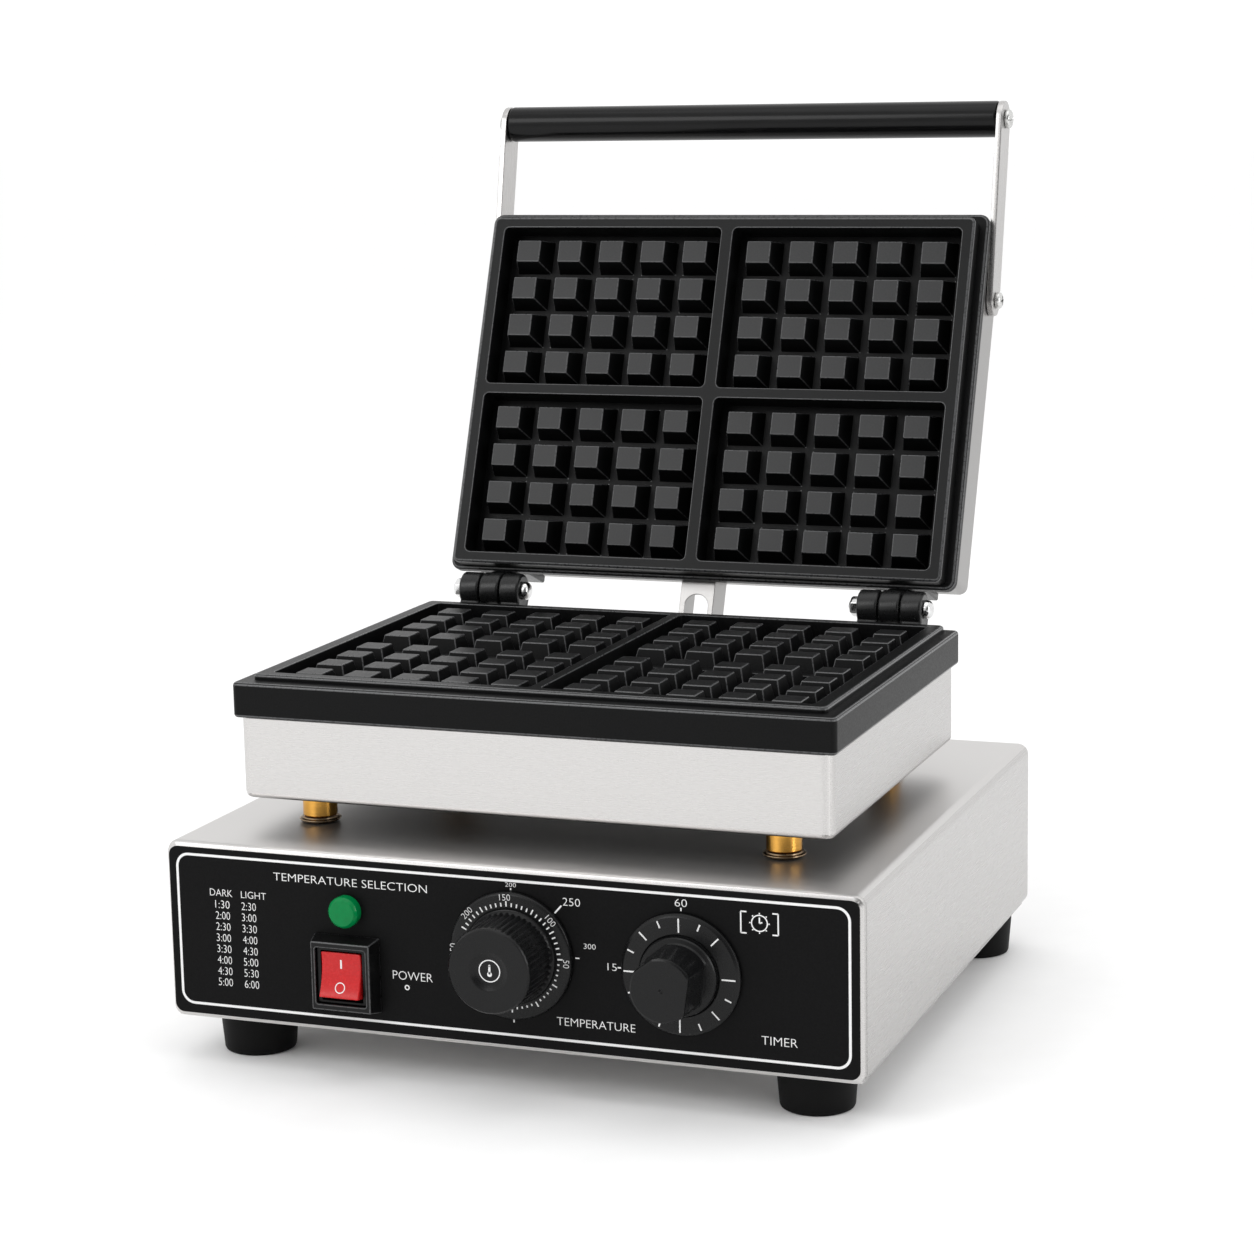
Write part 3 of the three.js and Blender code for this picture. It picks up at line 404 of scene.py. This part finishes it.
def sheet_metal():
    # The sheets' faces along X take darker steel than their top: painted shade.
    refined("base_cover", 0.0003, grain_and_shade_by_face=True, angle=50, pierced=True)
    refined("bottom_plate", 0.00015, grain_and_shade_by_face=True, angle=50, segments=1, pierced=True)
    refined("back_plate", 0.00015, grain_and_shade_by_face=True, angle=50, segments=1, pierced=True)
    # The housings' sides, and the lid housing's rear wall, take darker steel as painted shade.
    for node, side, corner, fillet, flank in (("lower_housing", "top", 0.005, 0.0028, STEEL_Y_SHADED),
                                              ("upper_housing", "bottom", 0.004, 0.0024, STEEL_LID_SHADED)):
        low, high = built_box(node)
        bm = tray(low, high, corner, fillet, SHEET, side)
        # Material 2, the lower housing's underside, takes dark steel as painted shade.
        stand_in(node, bm, [STEEL_X, flank, STEEL_UNDER_SHADE, STEEL_LID_SHADED], matrix=placing(node))
    # The stop bracket takes the lid housing's darker steel, painted shade.
    refined("lid_stop_bracket", 0.0002, [STEEL_LID_SHADED], angle=40, segments=1, pierced=True)


# ---- castings ----------------------------------------------------------------------------------
def plate(node, facing_z, stud_level, looks):
    """A studded casting whose rounded convex edges take material 1, a painted highlight. Of the faces that look
    along facing_z in the building place, those at stud_level get material 3 and those near it material 2, for
    lighter finishes as painted light.
    """
    bm = cad_copy(node)
    bmesh.ops.transform(bm, matrix=placing(node).inverted(), verts=bm.verts)
    soften(bm, 0.00045, angle=25, edge_material=1)
    for face in bm.faces:
        if face.material_index == 0 and face.normal.z * facing_z > 0.99:
            height = face.calc_center_median().z
            if abs(height - stud_level) < 0.0003:
                face.material_index = 3
            elif abs(height - stud_level) < 0.0045:
                face.material_index = 2
    stand_in(node, bm, looks, matrix=placing(node))


def castings():
    stud_recess = 0.001
    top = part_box("lower_plate")[1].z
    # The lower plate's faces at stud level, the lid's stud tops and the lid faces near them take lighter cast
    # finishes: painted light.
    plate("lower_plate", 1, top - stud_recess, [CAST, CAST_EDGE_HIGHLIGHT, CAST, CAST_FACE_LIT])
    rim = built_box("upper_plate")[0].z
    plate("upper_plate", -1, rim + 2 * stud_recess, [CAST, CAST_EDGE_HIGHLIGHT, CAST_FACE_LIT, STUD_TOP_LIT])
    for side, _ in SIDES:
        for half in ("lower", "upper"):
            refined(f"hinge_{half}_{side}", 0.0005, angle=35, pierced=True)


# ---- turned pieces -----------------------------------------------------------------------------
def standing(node):
    """Middle of a node in plan, as the matrix that stands a turned piece there."""
    low, high = built_box(node)
    return Matrix.Translation(((low.x + high.x) / 2, (low.y + high.y) / 2, 0))


def feet():
    """Tapered rubber feet with rounded edges and a recess for the screw."""
    for corner in CORNERS:
        node = f"foot_{corner}"
        low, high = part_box(node)
        top = (high.x - low.x) / 2
        bottom = top * 0.918
        height = high.z
        bore = 0.0026
        recess, deep = 0.007, 0.006
        profile = [(bore, deep), (recess, deep), (recess, 0.0004), (recess + 0.0005, 0), (bottom - 0.0013, 0),
                   (bottom - 0.0004, 0.0004), (bottom, 0.0013), (top - 0.0001, height - 0.0022),
                   (top - 0.0003, height - 0.0009), (top - 0.0012, height), (bore, height)]
        stand_in(node, turned(profile, 80, closed=True), matrix=standing(node))
        refined(f"foot_screw_{corner}", 0.0002)


def spacers():
    """Brass spacers with their flange washers."""
    for corner in CORNERS:
        node, washer = f"standoff_{corner}", f"standoff_washer_{corner}"
        low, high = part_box(node)
        radius = (high.x - low.x) / 2
        stud = 0.003
        gap = 0.0003
        edge = 0.0006
        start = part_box(washer)[1].z + gap
        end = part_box("lower_housing")[0].z - gap
        profile = [(0, low.z), (stud, low.z), (stud, start), (radius - edge, start), (radius, start + edge),
                   (radius, end - edge), (radius - edge, end), (stud, end), (stud, high.z), (0, high.z)]
        stand_in(node, turned(profile, 64), matrix=standing(node))
        low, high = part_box(washer)
        radius = (high.x - low.x) / 2
        bore, boss = 0.0034, 0.0078
        roll = low.z + 0.0017
        profile = [(bore, low.z), (radius - 0.0014, low.z), (radius - 0.0004, low.z + 0.0005),
                   (radius, low.z + 0.0011), (radius - 0.0001, low.z + 0.0014), (radius - 0.0006, roll),
                   (radius - 0.0013, roll), (boss, high.z), (bore, high.z)]
        stand_in(washer, turned(profile, 64, closed=True), [WASHER], matrix=standing(washer))


def axis_place(node, direction):
    """Lays a turned piece on a node's middle line. Heights start at the node's end."""
    low, high = built_box(node)
    middle = (low + high) / 2
    axis = "xyz".index(direction[1])
    middle[axis] = low[axis] if direction[0] == "+" else high[axis]
    return Matrix.Translation(middle) @ ALONG[direction]


def handle():
    """Glossy tube between two flat arms, held by slotted screws."""
    low, high = built_box("handle_grip")
    radius = (high.z - low.z) / 2
    length = high.x - low.x
    bore = 0.0043
    edge = 0.0011
    ends = [(bore, 0), (radius - edge, 0), (radius - edge * 0.3, edge * 0.3), (radius, edge)]
    profile = ends + [(r, length - h) for r, h in reversed(ends)]
    stand_in("handle_grip", turned(profile, 96, closed=True), matrix=OPEN @ axis_place("handle_grip", "+x"))
    for side, sign in SIDES:
        refined(f"handle_arm_{side}", 0.0005, [STEEL_Z], angle=40)
        for node, cross in ((f"handle_end_screw_{side}", False), (f"arm_screw_{side}", True)):
            pan_screw(node, sign, cross)


def pan_screw(node, sign, cross):
    """Pan-head screw along X, its head outward, with a slot or a cross."""
    low, high = built_box(node)
    radius = (high.z - low.z) / 2
    length = high.x - low.x
    shank = radius * 0.5
    head = 0.0029
    seat = length - head
    profile = [(0, 0), (shank, 0), (shank, seat), (radius - 0.0002, seat), (radius, seat + 0.0003),
               (radius, seat + head * 0.45), (radius * 0.93, seat + head * 0.68),
               (radius * 0.72, seat + head * 0.88), (radius * 0.4, seat + head * 0.98), (0, length)]
    place = OPEN @ axis_place(node, "+x" if sign > 0 else "-x")
    piece = stand_in(node, turned(profile, 48), matrix=place)
    turn = Matrix.Rotation(math.radians(28), 4, "Z")
    reach = radius * (0.55 if cross else 1.2)
    width = 0.0005
    deep, past = length - 0.0013, length + 0.001
    tools = [(block((-reach, -width, deep), (reach, width, past)), place @ turn)]
    if cross:
        tools.append((block((-width, -reach, deep), (width, reach, past)), place @ turn))
    cut_away(piece, tools)


def hinge_bolts():
    """Dome-headed bolts through the knuckles, with their nuts."""
    for side, _ in SIDES:
        node = f"hinge_bolt_{side}"
        low, high = built_box(node)
        head = (high.z - low.z) / 2
        length = high.x - low.x
        shank = 0.0026
        seat = length - 0.0040
        dome = seat + 0.0011
        rise = 0.0029
        steps = 9
        profile = [(0, 0), (shank - 0.0004, 0), (shank, 0.0004), (shank, seat), (head - 0.0002, seat),
                   (head, seat + 0.0002), (head, dome)]
        for k in range(1, steps):
            angle = math.radians(90 * k / steps)
            profile.append((head * math.cos(angle), dome + rise * math.sin(angle)))
        profile.append((0, length))
        stand_in(node, turned(profile, 48), matrix=axis_place(node, "+x"))
        refined(f"hinge_nut_{side}", 0.0003)


# ---- controls ----------------------------------------------------------------------------------
PANEL_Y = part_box("control_panel")[0].y


def facing(x, z, y=PANEL_Y):
    """Stands a piece on the panel at x, z with its heights towards the user."""
    return Matrix.Translation((x, y, z)) @ ALONG["-y"]


def dial_place(node):
    """The dial's middle line from where its skirt begins, the skirt's radius and the dial's height."""
    low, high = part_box(node)
    return facing((low.x + high.x) / 2, (low.z + high.z) / 2, high.y), (high.x - low.x) / 2, high.y - low.y


def thermostat_knob():
    """Fluted grip on a flat skirt, with a dished face, a scale round the skirt and a small icon."""
    place, skirt, height = dial_place("thermostat_knob")
    plane = DIAL_DISC
    grip = 0.018
    flutes, flute_depth = 44, 0.00055
    dish = height - 0.0015

    def fluted(angle, point):
        share = point[2] if len(point) > 2 else 0
        wave = 0.5 - 0.5 * math.cos(angle * flutes)
        return point[0] - share * flute_depth * wave ** 2

    profile = [(0, DIAL_BORE_DEPTH), (DIAL_BORE, DIAL_BORE_DEPTH), (DIAL_BORE, 0), (skirt - 0.0003, 0),
               (skirt, 0.0003), (skirt, plane - 0.0016), (skirt - 0.0005, plane - 0.0009),
               (skirt - 0.0014, plane - 0.0003), (grip + 0.0028, plane + 0.0001),
               (grip + 0.0018, plane - 0.0003), (grip + 0.0012, plane), (grip + 0.0008, plane + 0.0008),
               (grip + 0.0006, plane + 0.0012, 1), (grip + 0.0002, height - 0.0026, 1),
               (grip, height - 0.0014, 0.2), (grip - 0.0002, height - 0.0007), (grip - 0.0009, height),
               (0.0088, height), (0.0079, height - 0.0003), (0.0064, height - 0.0012), (0.0049, dish),
               (0, dish)]
    stand_in("thermostat_knob", turned(profile, flutes * 6, shape=fluted), matrix=place)
    marks = bmesh.new()
    inner = grip + 0.0030
    for step in range(41):
        long = step % 5 == 0
        reach = 0.0026 if long else (0.0019 if step < 26 else 0.0012)
        tick(marks, -62 + 6 * step, inner, inner + reach, 0.0006)
    for angle, word in ((-88, "250"), (-47, "200"), (-3, "150"), (48, "100"), (92, "50")):
        dial_number(marks, word, angle, grip + 0.0071, 0.0026)
    add_print("thermostat_skirt_print", marks, place @ Matrix.Translation((0, 0, plane)), "thermostat_dial")
    icon = bmesh.new()
    ring_outline(icon, 0.0045, 0.00045)
    thermometer(icon)
    add_print("thermostat_icon_print", icon, place @ Matrix.Translation((0, 0, dish)), "thermostat_dial")


def timer_knob():
    """Narrow grip with two flats on a collar and a wide skirt marked with rays."""
    place, skirt, height = dial_place("timer_knob")
    plane = DIAL_DISC
    grip = 0.0135
    collar = 0.0165

    def flatted(angle, point):
        """Round, with one broad flat on the right and a finger flat at the upper left."""
        radius = point[0]
        share = point[2] if len(point) > 2 else 0
        if not share:
            return radius
        reach = radius
        for middle, chord in ((-8, 0.80), (128, 0.93)):
            turn = angle - math.radians(middle)
            if math.cos(turn) > 0.05:
                reach = min(reach, radius * chord / math.cos(turn))
        return radius + share * (reach - radius)

    dimple = height - 0.0004
    profile = [(0, DIAL_BORE_DEPTH), (DIAL_BORE, DIAL_BORE_DEPTH), (DIAL_BORE, 0), (skirt - 0.0003, 0),
               (skirt, 0.0003), (skirt, plane - 0.0014), (skirt - 0.0005, plane - 0.0008),
               (skirt - 0.0013, plane - 0.0003), (collar + 0.0008, plane + 0.0001),
               (collar + 0.0003, plane - 0.0004), (collar, plane), (collar, plane + 0.0022),
               (collar - 0.0004, plane + 0.0028), (collar - 0.0012, plane + 0.0030),
               (grip + 0.0011, plane + 0.0032, 1), (grip + 0.0006, plane + 0.0040, 1),
               (grip, height - 0.0012, 1), (grip - 0.0003, dimple, 1), (grip - 0.0010, height, 1),
               (0.0009, height), (0.0006, dimple), (0, dimple)]
    stand_in("timer_knob", turned(profile, 180, shape=flatted), matrix=place, smooth_angle=24)
    marks = bmesh.new()
    outer = skirt - 0.0016
    for step in range(16):
        if step in (3, 10):
            continue
        ray = 0.0062 if step % 4 == 0 else (0.0045 if step % 2 == 0 else 0.0030)
        tick(marks, 22.5 * step, outer - ray, outer, 0.00065)
    add_print("timer_skirt_print", marks, place @ Matrix.Translation((0, 0, plane)), "timer_dial")


def rocker_switch():
    """Rocker with a hollow face, tipped to one side, in its surround."""
    # The surround's rounded convex edges take the lighter cast finish as a painted highlight.
    refined("switch_surround", 0.0005, [PLASTIC, CAST_EDGE_HIGHLIGHT], edge_material=1)
    refined("switch_body", 0.0003, angle=40)
    low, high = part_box("switch_rocker")
    joint = next(j for j in frame["joints"] if j["child"] == "rocker")
    pivot = Vector(joint["pos_m"])
    tilt = math.radians((joint["range_deg"][1] - joint["range_deg"][0]) / 2)
    half_x = (high.x - low.x) / 2
    half_z = 0.0096
    crest = -0.0042
    rise = math.tan(tilt) * half_z
    steps = 14
    outline = []
    for k in range(steps + 1):
        z = half_z * (1 - 2 * k / steps)
        outline.append((crest - rise * (z / half_z) ** 2, z))
    shoulder = crest + 0.0032
    root, half_root = 0.0055, 0.0035
    outline += [(shoulder, -half_z), (root, -half_root), (root, half_root), (shoulder, half_z)]
    rings = [[Vector((x, y, z)) for y, z in outline] for x in (-half_x, half_x)]
    bm = soften(loft(rings), 0.0006, angle=40, segments=3)
    place = Matrix.Translation(pivot) @ Matrix.Rotation(-tilt, 4, "X")
    stand_in("switch_rocker", bm, matrix=place)
    signs = bmesh.new()
    bar(signs, (0, 0.0028), (0, 0.0066), 0.0008)
    ring_outline(signs, 0.0021, 0.00042, (0, -0.0052))
    bmesh.ops.subdivide_edges(signs, edges=signs.edges, cuts=1)
    for vertex in signs.verts:
        vertex.co.z += -crest + rise * (vertex.co.y / half_z) ** 2
    add_print("rocker_signs", signs, place @ ALONG["-y"], "rocker", weld=False)


def lamp():
    """Green jewel: a bevelled face on a deep rim."""
    low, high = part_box("indicator_lens")
    radius = (high.x - low.x) / 2
    front = PANEL_Y - low.y
    barrel, behind, rest = 0.0046, -0.0025, 0.0003
    profile = [(0, behind), (barrel, behind), (barrel, rest), (radius - 0.0002, rest), (radius, 0.0005),
               (radius, front - 0.0019), (radius - 0.0002, front - 0.0014), (radius * 0.84, front - 0.0003),
               (radius * 0.80, front - 0.0001), (radius * 0.4, front - 0.00002), (0, front)]
    place = facing((low.x + high.x) / 2, (low.z + high.z) / 2)
    stand_in("indicator_lens", turned(profile, 64), matrix=place, smooth_angle=28)


# ---- print -------------------------------------------------------------------------------------
TIMER_SCALE_RADIUS = 0.0254


def add_print(name, bm, matrix, body, weld=True):
    """Raises flat white shapes, drawn in x and y, into thin closed ink."""
    if weld:
        bmesh.ops.remove_doubles(bm, verts=bm.verts, dist=1e-7)
    lift = bmesh.ops.extrude_face_region(bm, geom=list(bm.faces))
    raised = [item for item in lift["geom"] if isinstance(item, bmesh.types.BMVert)]
    bmesh.ops.translate(bm, vec=(0, 0, PRINT_THICK), verts=raised)
    bmesh.ops.translate(bm, vec=(0, 0, PRINT_GAP), verts=bm.verts)
    return add_piece(name, bm, [INK], body, None, matrix=matrix)


def bar(bm, start, end, width):
    """Flat strip between two points of the drawing plane."""
    start, end = Vector((*start, 0)), Vector((*end, 0))
    side = (end - start).normalized().cross(Vector((0, 0, 1))) * (width / 2)
    bm.faces.new([bm.verts.new(p) for p in (start + side, end + side, end - side, start - side)])


def tick(bm, degrees, inner, outer, width):
    """Radial mark. Degrees run clockwise from the top."""
    angle = math.radians(90 - degrees)
    ray = Vector((math.cos(angle), math.sin(angle)))
    bar(bm, ray * inner, ray * outer, width)


def ring_outline(bm, radius, width, centre=(0, 0), steps=40):
    """Flat ring about a centre."""
    rows = []
    for k in range(steps):
        angle = math.radians(360 * k / steps)
        ray = Vector((math.cos(angle), math.sin(angle), 0))
        reaches = (radius - width / 2, radius + width / 2)
        rows.append([bm.verts.new(Vector((*centre, 0)) + ray * reach) for reach in reaches])
    for k in range(steps):
        after = (k + 1) % steps
        bm.faces.new([rows[k][0], rows[k][1], rows[after][1], rows[after][0]])


def disc(bm, radius, centre, steps=24):
    """Flat round spot about a centre."""
    ring = []
    for k in range(steps):
        angle = 2 * math.pi * k / steps
        x, y = radius * math.cos(angle), radius * math.sin(angle)
        ring.append(bm.verts.new((centre[0] + x, centre[1] + y, 0)))
    bm.faces.new(ring)


def words(bm, text, centre, width, height, turn=0):
    """Plain lettering fitted to a width and height about a centre. A width of 0 keeps its proportions."""
    curve = bpy.data.curves.new("words", "FONT")
    curve.body = text
    curve.resolution_u = 3
    curve.offset = -0.014
    letters = bpy.data.objects.new("words", curve)
    bpy.context.scene.collection.objects.link(letters)
    depsgraph = bpy.context.evaluated_depsgraph_get()
    mesh = bpy.data.meshes.new_from_object(letters.evaluated_get(depsgraph))
    low = Vector(min(v.co[k] for v in mesh.vertices) for k in range(2))
    high = Vector(max(v.co[k] for v in mesh.vertices) for k in range(2))
    size = high - low
    middle = (low + high) / 2
    up = height / size.y
    across = width / size.x if width else up
    fit = (Matrix.Translation((*centre, 0)) @ Matrix.Rotation(math.radians(-turn), 4, "Z")
           @ Matrix.Diagonal((across, up, 1, 1)) @ Matrix.Translation((-middle.x, -middle.y, 0)))
    mesh.transform(fit)
    bm.from_mesh(mesh)
    bpy.data.objects.remove(letters)
    bpy.data.curves.remove(curve)
    bpy.data.meshes.remove(mesh)


def dial_number(bm, text, degrees, radius, height):
    """Number that stands upright on its ray. Degrees run clockwise from the top."""
    angle = math.radians(90 - degrees)
    words(bm, text, (radius * math.cos(angle), radius * math.sin(angle)), 0, height, degrees)


def thermometer(bm):
    """Small thermometer: a bulb, a stem and a rounded top."""
    bulb, tip, stem = (0, -0.0014), (0, 0.0022), 0.0009
    disc(bm, 0.00105, bulb)
    bar(bm, bulb, tip, stem)
    disc(bm, stem / 2, tip)


def clock_icon(bm, x, z):
    """Square brackets round a clock face."""
    half_x, half_z, stroke, lip = 0.0078, 0.0044, 0.0006, 0.0024
    for sign in (-1, 1):
        edge = x + sign * half_x
        bar(bm, (edge, z - half_z), (edge, z + half_z), stroke)
        for level in (-half_z, half_z):
            bar(bm, (edge, z + level), (edge - sign * lip, z + level), stroke)
    ring_outline(bm, 0.0033, 0.0005, (x, z))
    bar(bm, (x, z), (x, z + 0.0024), 0.0006)
    bar(bm, (x, z), (x + 0.0012, z + 0.0004), 0.0006)
    for step in range(8):
        angle = math.radians(45 * step)
        ray = Vector((math.cos(angle), math.sin(angle)))
        bar(bm, Vector((x, z)) + ray * 0.0037, Vector((x, z)) + ray * 0.0043, 0.0005)


def border(bm, half_x, low_z, high_z, radius, width):
    """White rounded line round the panel."""
    middle = (low_z + high_z) / 2
    half_z = (high_z - low_z) / 2
    outer = rounded_outline(half_x, half_z, radius, 8)
    inner = rounded_outline(half_x - width, half_z - width, radius - width, 8)
    rows = [[bm.verts.new((x, middle + z, 0)) for x, z in line] for line in (outer, inner)]
    count = len(outer)
    for k in range(count):
        after = (k + 1) % count
        bm.faces.new([rows[0][k], rows[0][after], rows[1][after], rows[1][k]])


def panel_print():
    """Border, table of baking times, names of the controls and marks round the dials."""
    lines = bmesh.new()
    border(lines, half_x=0.1496, low_z=0.0256, high_z=0.0925, radius=0.006, width=0.0011)
    place = Matrix.Translation((0, PANEL_Y, 0)) @ ALONG["-y"]
    add_print("panel_border", lines, place, "base")
    table = bmesh.new()
    heads_z, first_z, row_step = 0.0761, 0.0710, 0.00490
    words(table, "DARK", (-0.1286, heads_z), 0.0106, 0.0030)
    words(table, "LIGHT", (-0.1132, heads_z), 0.0118, 0.0030)
    for row in range(8):
        z = first_z - row_step * row
        for x, first in ((-0.1282, 90), (-0.1157, 150)):
            seconds = first + 30 * row
            words(table, f"{seconds // 60}:{seconds % 60:02d}", (x, z), 0.0068, 0.0034)
    add_print("baking_time_table", table, place, "base")
    names = bmesh.new()
    words(names, "TEMPERATURE SELECTION", (-0.0680, 0.0853), 0.0708, 0.0034)
    words(names, "POWER", (-0.0403, 0.0472), 0.0182, 0.0037)
    ring_outline(names, 0.0009, 0.0005, (-0.0430, 0.0421))
    words(names, "TEMPERATURE", (0.0412, 0.0341), 0.0343, 0.0034)
    words(names, "TIMER", (0.1197, 0.0346), 0.0151, 0.0035)
    clock_icon(names, 0.1118, 0.0829)
    add_print("control_names", names, place, "base")
    marks = bmesh.new()
    low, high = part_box("thermostat_knob")
    x, z, radius = (low.x + high.x) / 2, (low.z + high.z) / 2, (high.x - low.x) / 2
    bar(marks, (x, z + radius + 0.0004), (x, z + radius + 0.0012), 0.0006)
    words(marks, "200", (x, z + radius + 0.0026), 0.0048, 0.0018)
    bar(marks, (x + 0.0192, z + 0.0192), (x + 0.0222, z + 0.0226), 0.0007)
    words(marks, "250", (x + 0.0266, z + 0.0244), 0.0076, 0.0033)
    bar(marks, (x + radius + 0.0008, z + 0.001), (x + radius + 0.0026, z + 0.001), 0.0005)
    words(marks, "300", (x + radius + 0.0072, z + 0.0064), 0.0052, 0.0022)
    bar(marks, (x, z - radius - 0.0020), (x, z - radius - 0.0008), 0.0006)
    low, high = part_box("timer_knob")
    x, z, radius = (low.x + high.x) / 2, (low.z + high.z) / 2, TIMER_SCALE_RADIUS
    bar(marks, (x, z + radius + 0.0006), (x, z + radius + 0.0020), 0.0006)
    words(marks, "60", (x, z + radius + 0.0040), 0.0052, 0.0032)
    bar(marks, (x - radius - 0.0022, z), (x - radius - 0.0008, z), 0.0006)
    words(marks, "15", (x - radius - 0.0046, z), 0.0040, 0.0030)
    add_print("dial_panel_marks", marks, place, "base")


def controls():
    refined("control_panel", 0.00015, segments=1, pierced=True)
    thermostat_knob()
    timer_knob()
    rocker_switch()
    lamp()
    panel_print()
    refined("cable_gland", 0.0004)


# ---- inner pieces, studio, camera --------------------------------------------------------------
def dress_cad_nodes():
    """The CAD nodes that stay get their slot's finish."""
    for node, piece in frame["nodes"].items():
        piece.data.materials.clear()
        piece.data.materials.append(SLOT_LOOK[NODE_SLOT[node]])


def area_light(name, place, aim, size, power):
    light = bpy.data.lights.new(name, "AREA")
    light.shape = "RECTANGLE"
    light.size, light.size_y = size
    light.energy = power
    lamp_object = bpy.data.objects.new(name, light)
    lamp_object.location = place
    lamp_object.rotation_euler = (Vector(aim) - Vector(place)).to_track_quat("-Z", "Y").to_euler()
    bpy.context.scene.collection.objects.link(lamp_object)


def studio():
    """White floor, large soft lights, and white surroundings with a darker side at the front right."""
    world = bpy.data.worlds.new("studio")
    bpy.context.scene.world = world
    world.use_nodes = True
    room, wires = world.node_tree.nodes, world.node_tree.links
    background = room["Background"]
    background.inputs["Strength"].default_value = 1.12
    heading = room.new("ShaderNodeTexCoord")
    toward = room.new("ShaderNodeVectorMath")
    toward.operation = "DOT_PRODUCT"
    toward.inputs[1].default_value = (0.60, -0.80, 0.0)
    shade = room.new("ShaderNodeValToRGB")
    for stop, place, level in ((0, 0.52, 1.0), (1, 0.86, 0.16)):
        shade.color_ramp.elements[stop].position = place
        shade.color_ramp.elements[stop].color = (level, level, level, 1)
    wires.new(heading.outputs["Generated"], toward.inputs[0])
    wires.new(toward.outputs["Value"], shade.inputs["Fac"])
    wires.new(shade.outputs["Color"], background.inputs["Color"])
    floor_reach = 12
    bm = bmesh.new()
    bmesh.ops.create_grid(bm, x_segments=1, y_segments=1, size=floor_reach)
    mesh = bpy.data.meshes.new("floor")
    bm.to_mesh(mesh)
    bm.free()
    floor = bpy.data.objects.new("floor", mesh)
    bpy.context.scene.collection.objects.link(floor)
    mesh.materials.append(surface("floor_white", (0.975, 0.975, 0.975), 0.7, spread=0.01, specular=0.2,
                                  scale=(40, 40, 40), bump=0.0))
    middle = (0, 0, 0.15)
    area_light("key_left", (-0.75, -1.3, 1.15), middle, (0.9, 0.7), 6)
    area_light("top", (0.1, -0.1, 1.7), middle, (1.3, 1.1), 3)
    area_light("rim_right", (1.5, -0.35, 0.55), middle, (0.25, 0.9), 5)


def camera():
    """The view of the reference: from the right of the front and a little above."""
    azimuth, elevation, roll = math.radians(20.76), math.radians(10.58), math.radians(-1.09)
    eye = Vector((0.4742, -1.2575, 0.4192))
    ahead = Vector((-math.sin(azimuth) * math.cos(elevation), math.cos(azimuth) * math.cos(elevation),
                    -math.sin(elevation)))
    level = Vector((math.cos(azimuth), math.sin(azimuth), 0))
    upward = level.cross(ahead)
    right = level * math.cos(roll) + upward * math.sin(roll)
    above = upward * math.cos(roll) - level * math.sin(roll)
    data = bpy.data.cameras.new("camera")
    data.sensor_width = 36
    data.lens = 86.67
    data.clip_start = 0.05
    viewer = bpy.data.objects.new("camera", data)
    viewer.matrix_world = Matrix.Translation(eye) @ Matrix((right, above, -ahead)).transposed().to_4x4()
    bpy.context.scene.collection.objects.link(viewer)
    bpy.context.scene.camera = viewer


bpy.context.scene.view_settings.view_transform = "Standard"
dress_cad_nodes()
sheet_metal()
castings()
feet()
spacers()
handle()
hinge_bolts()
controls()
studio()
camera()
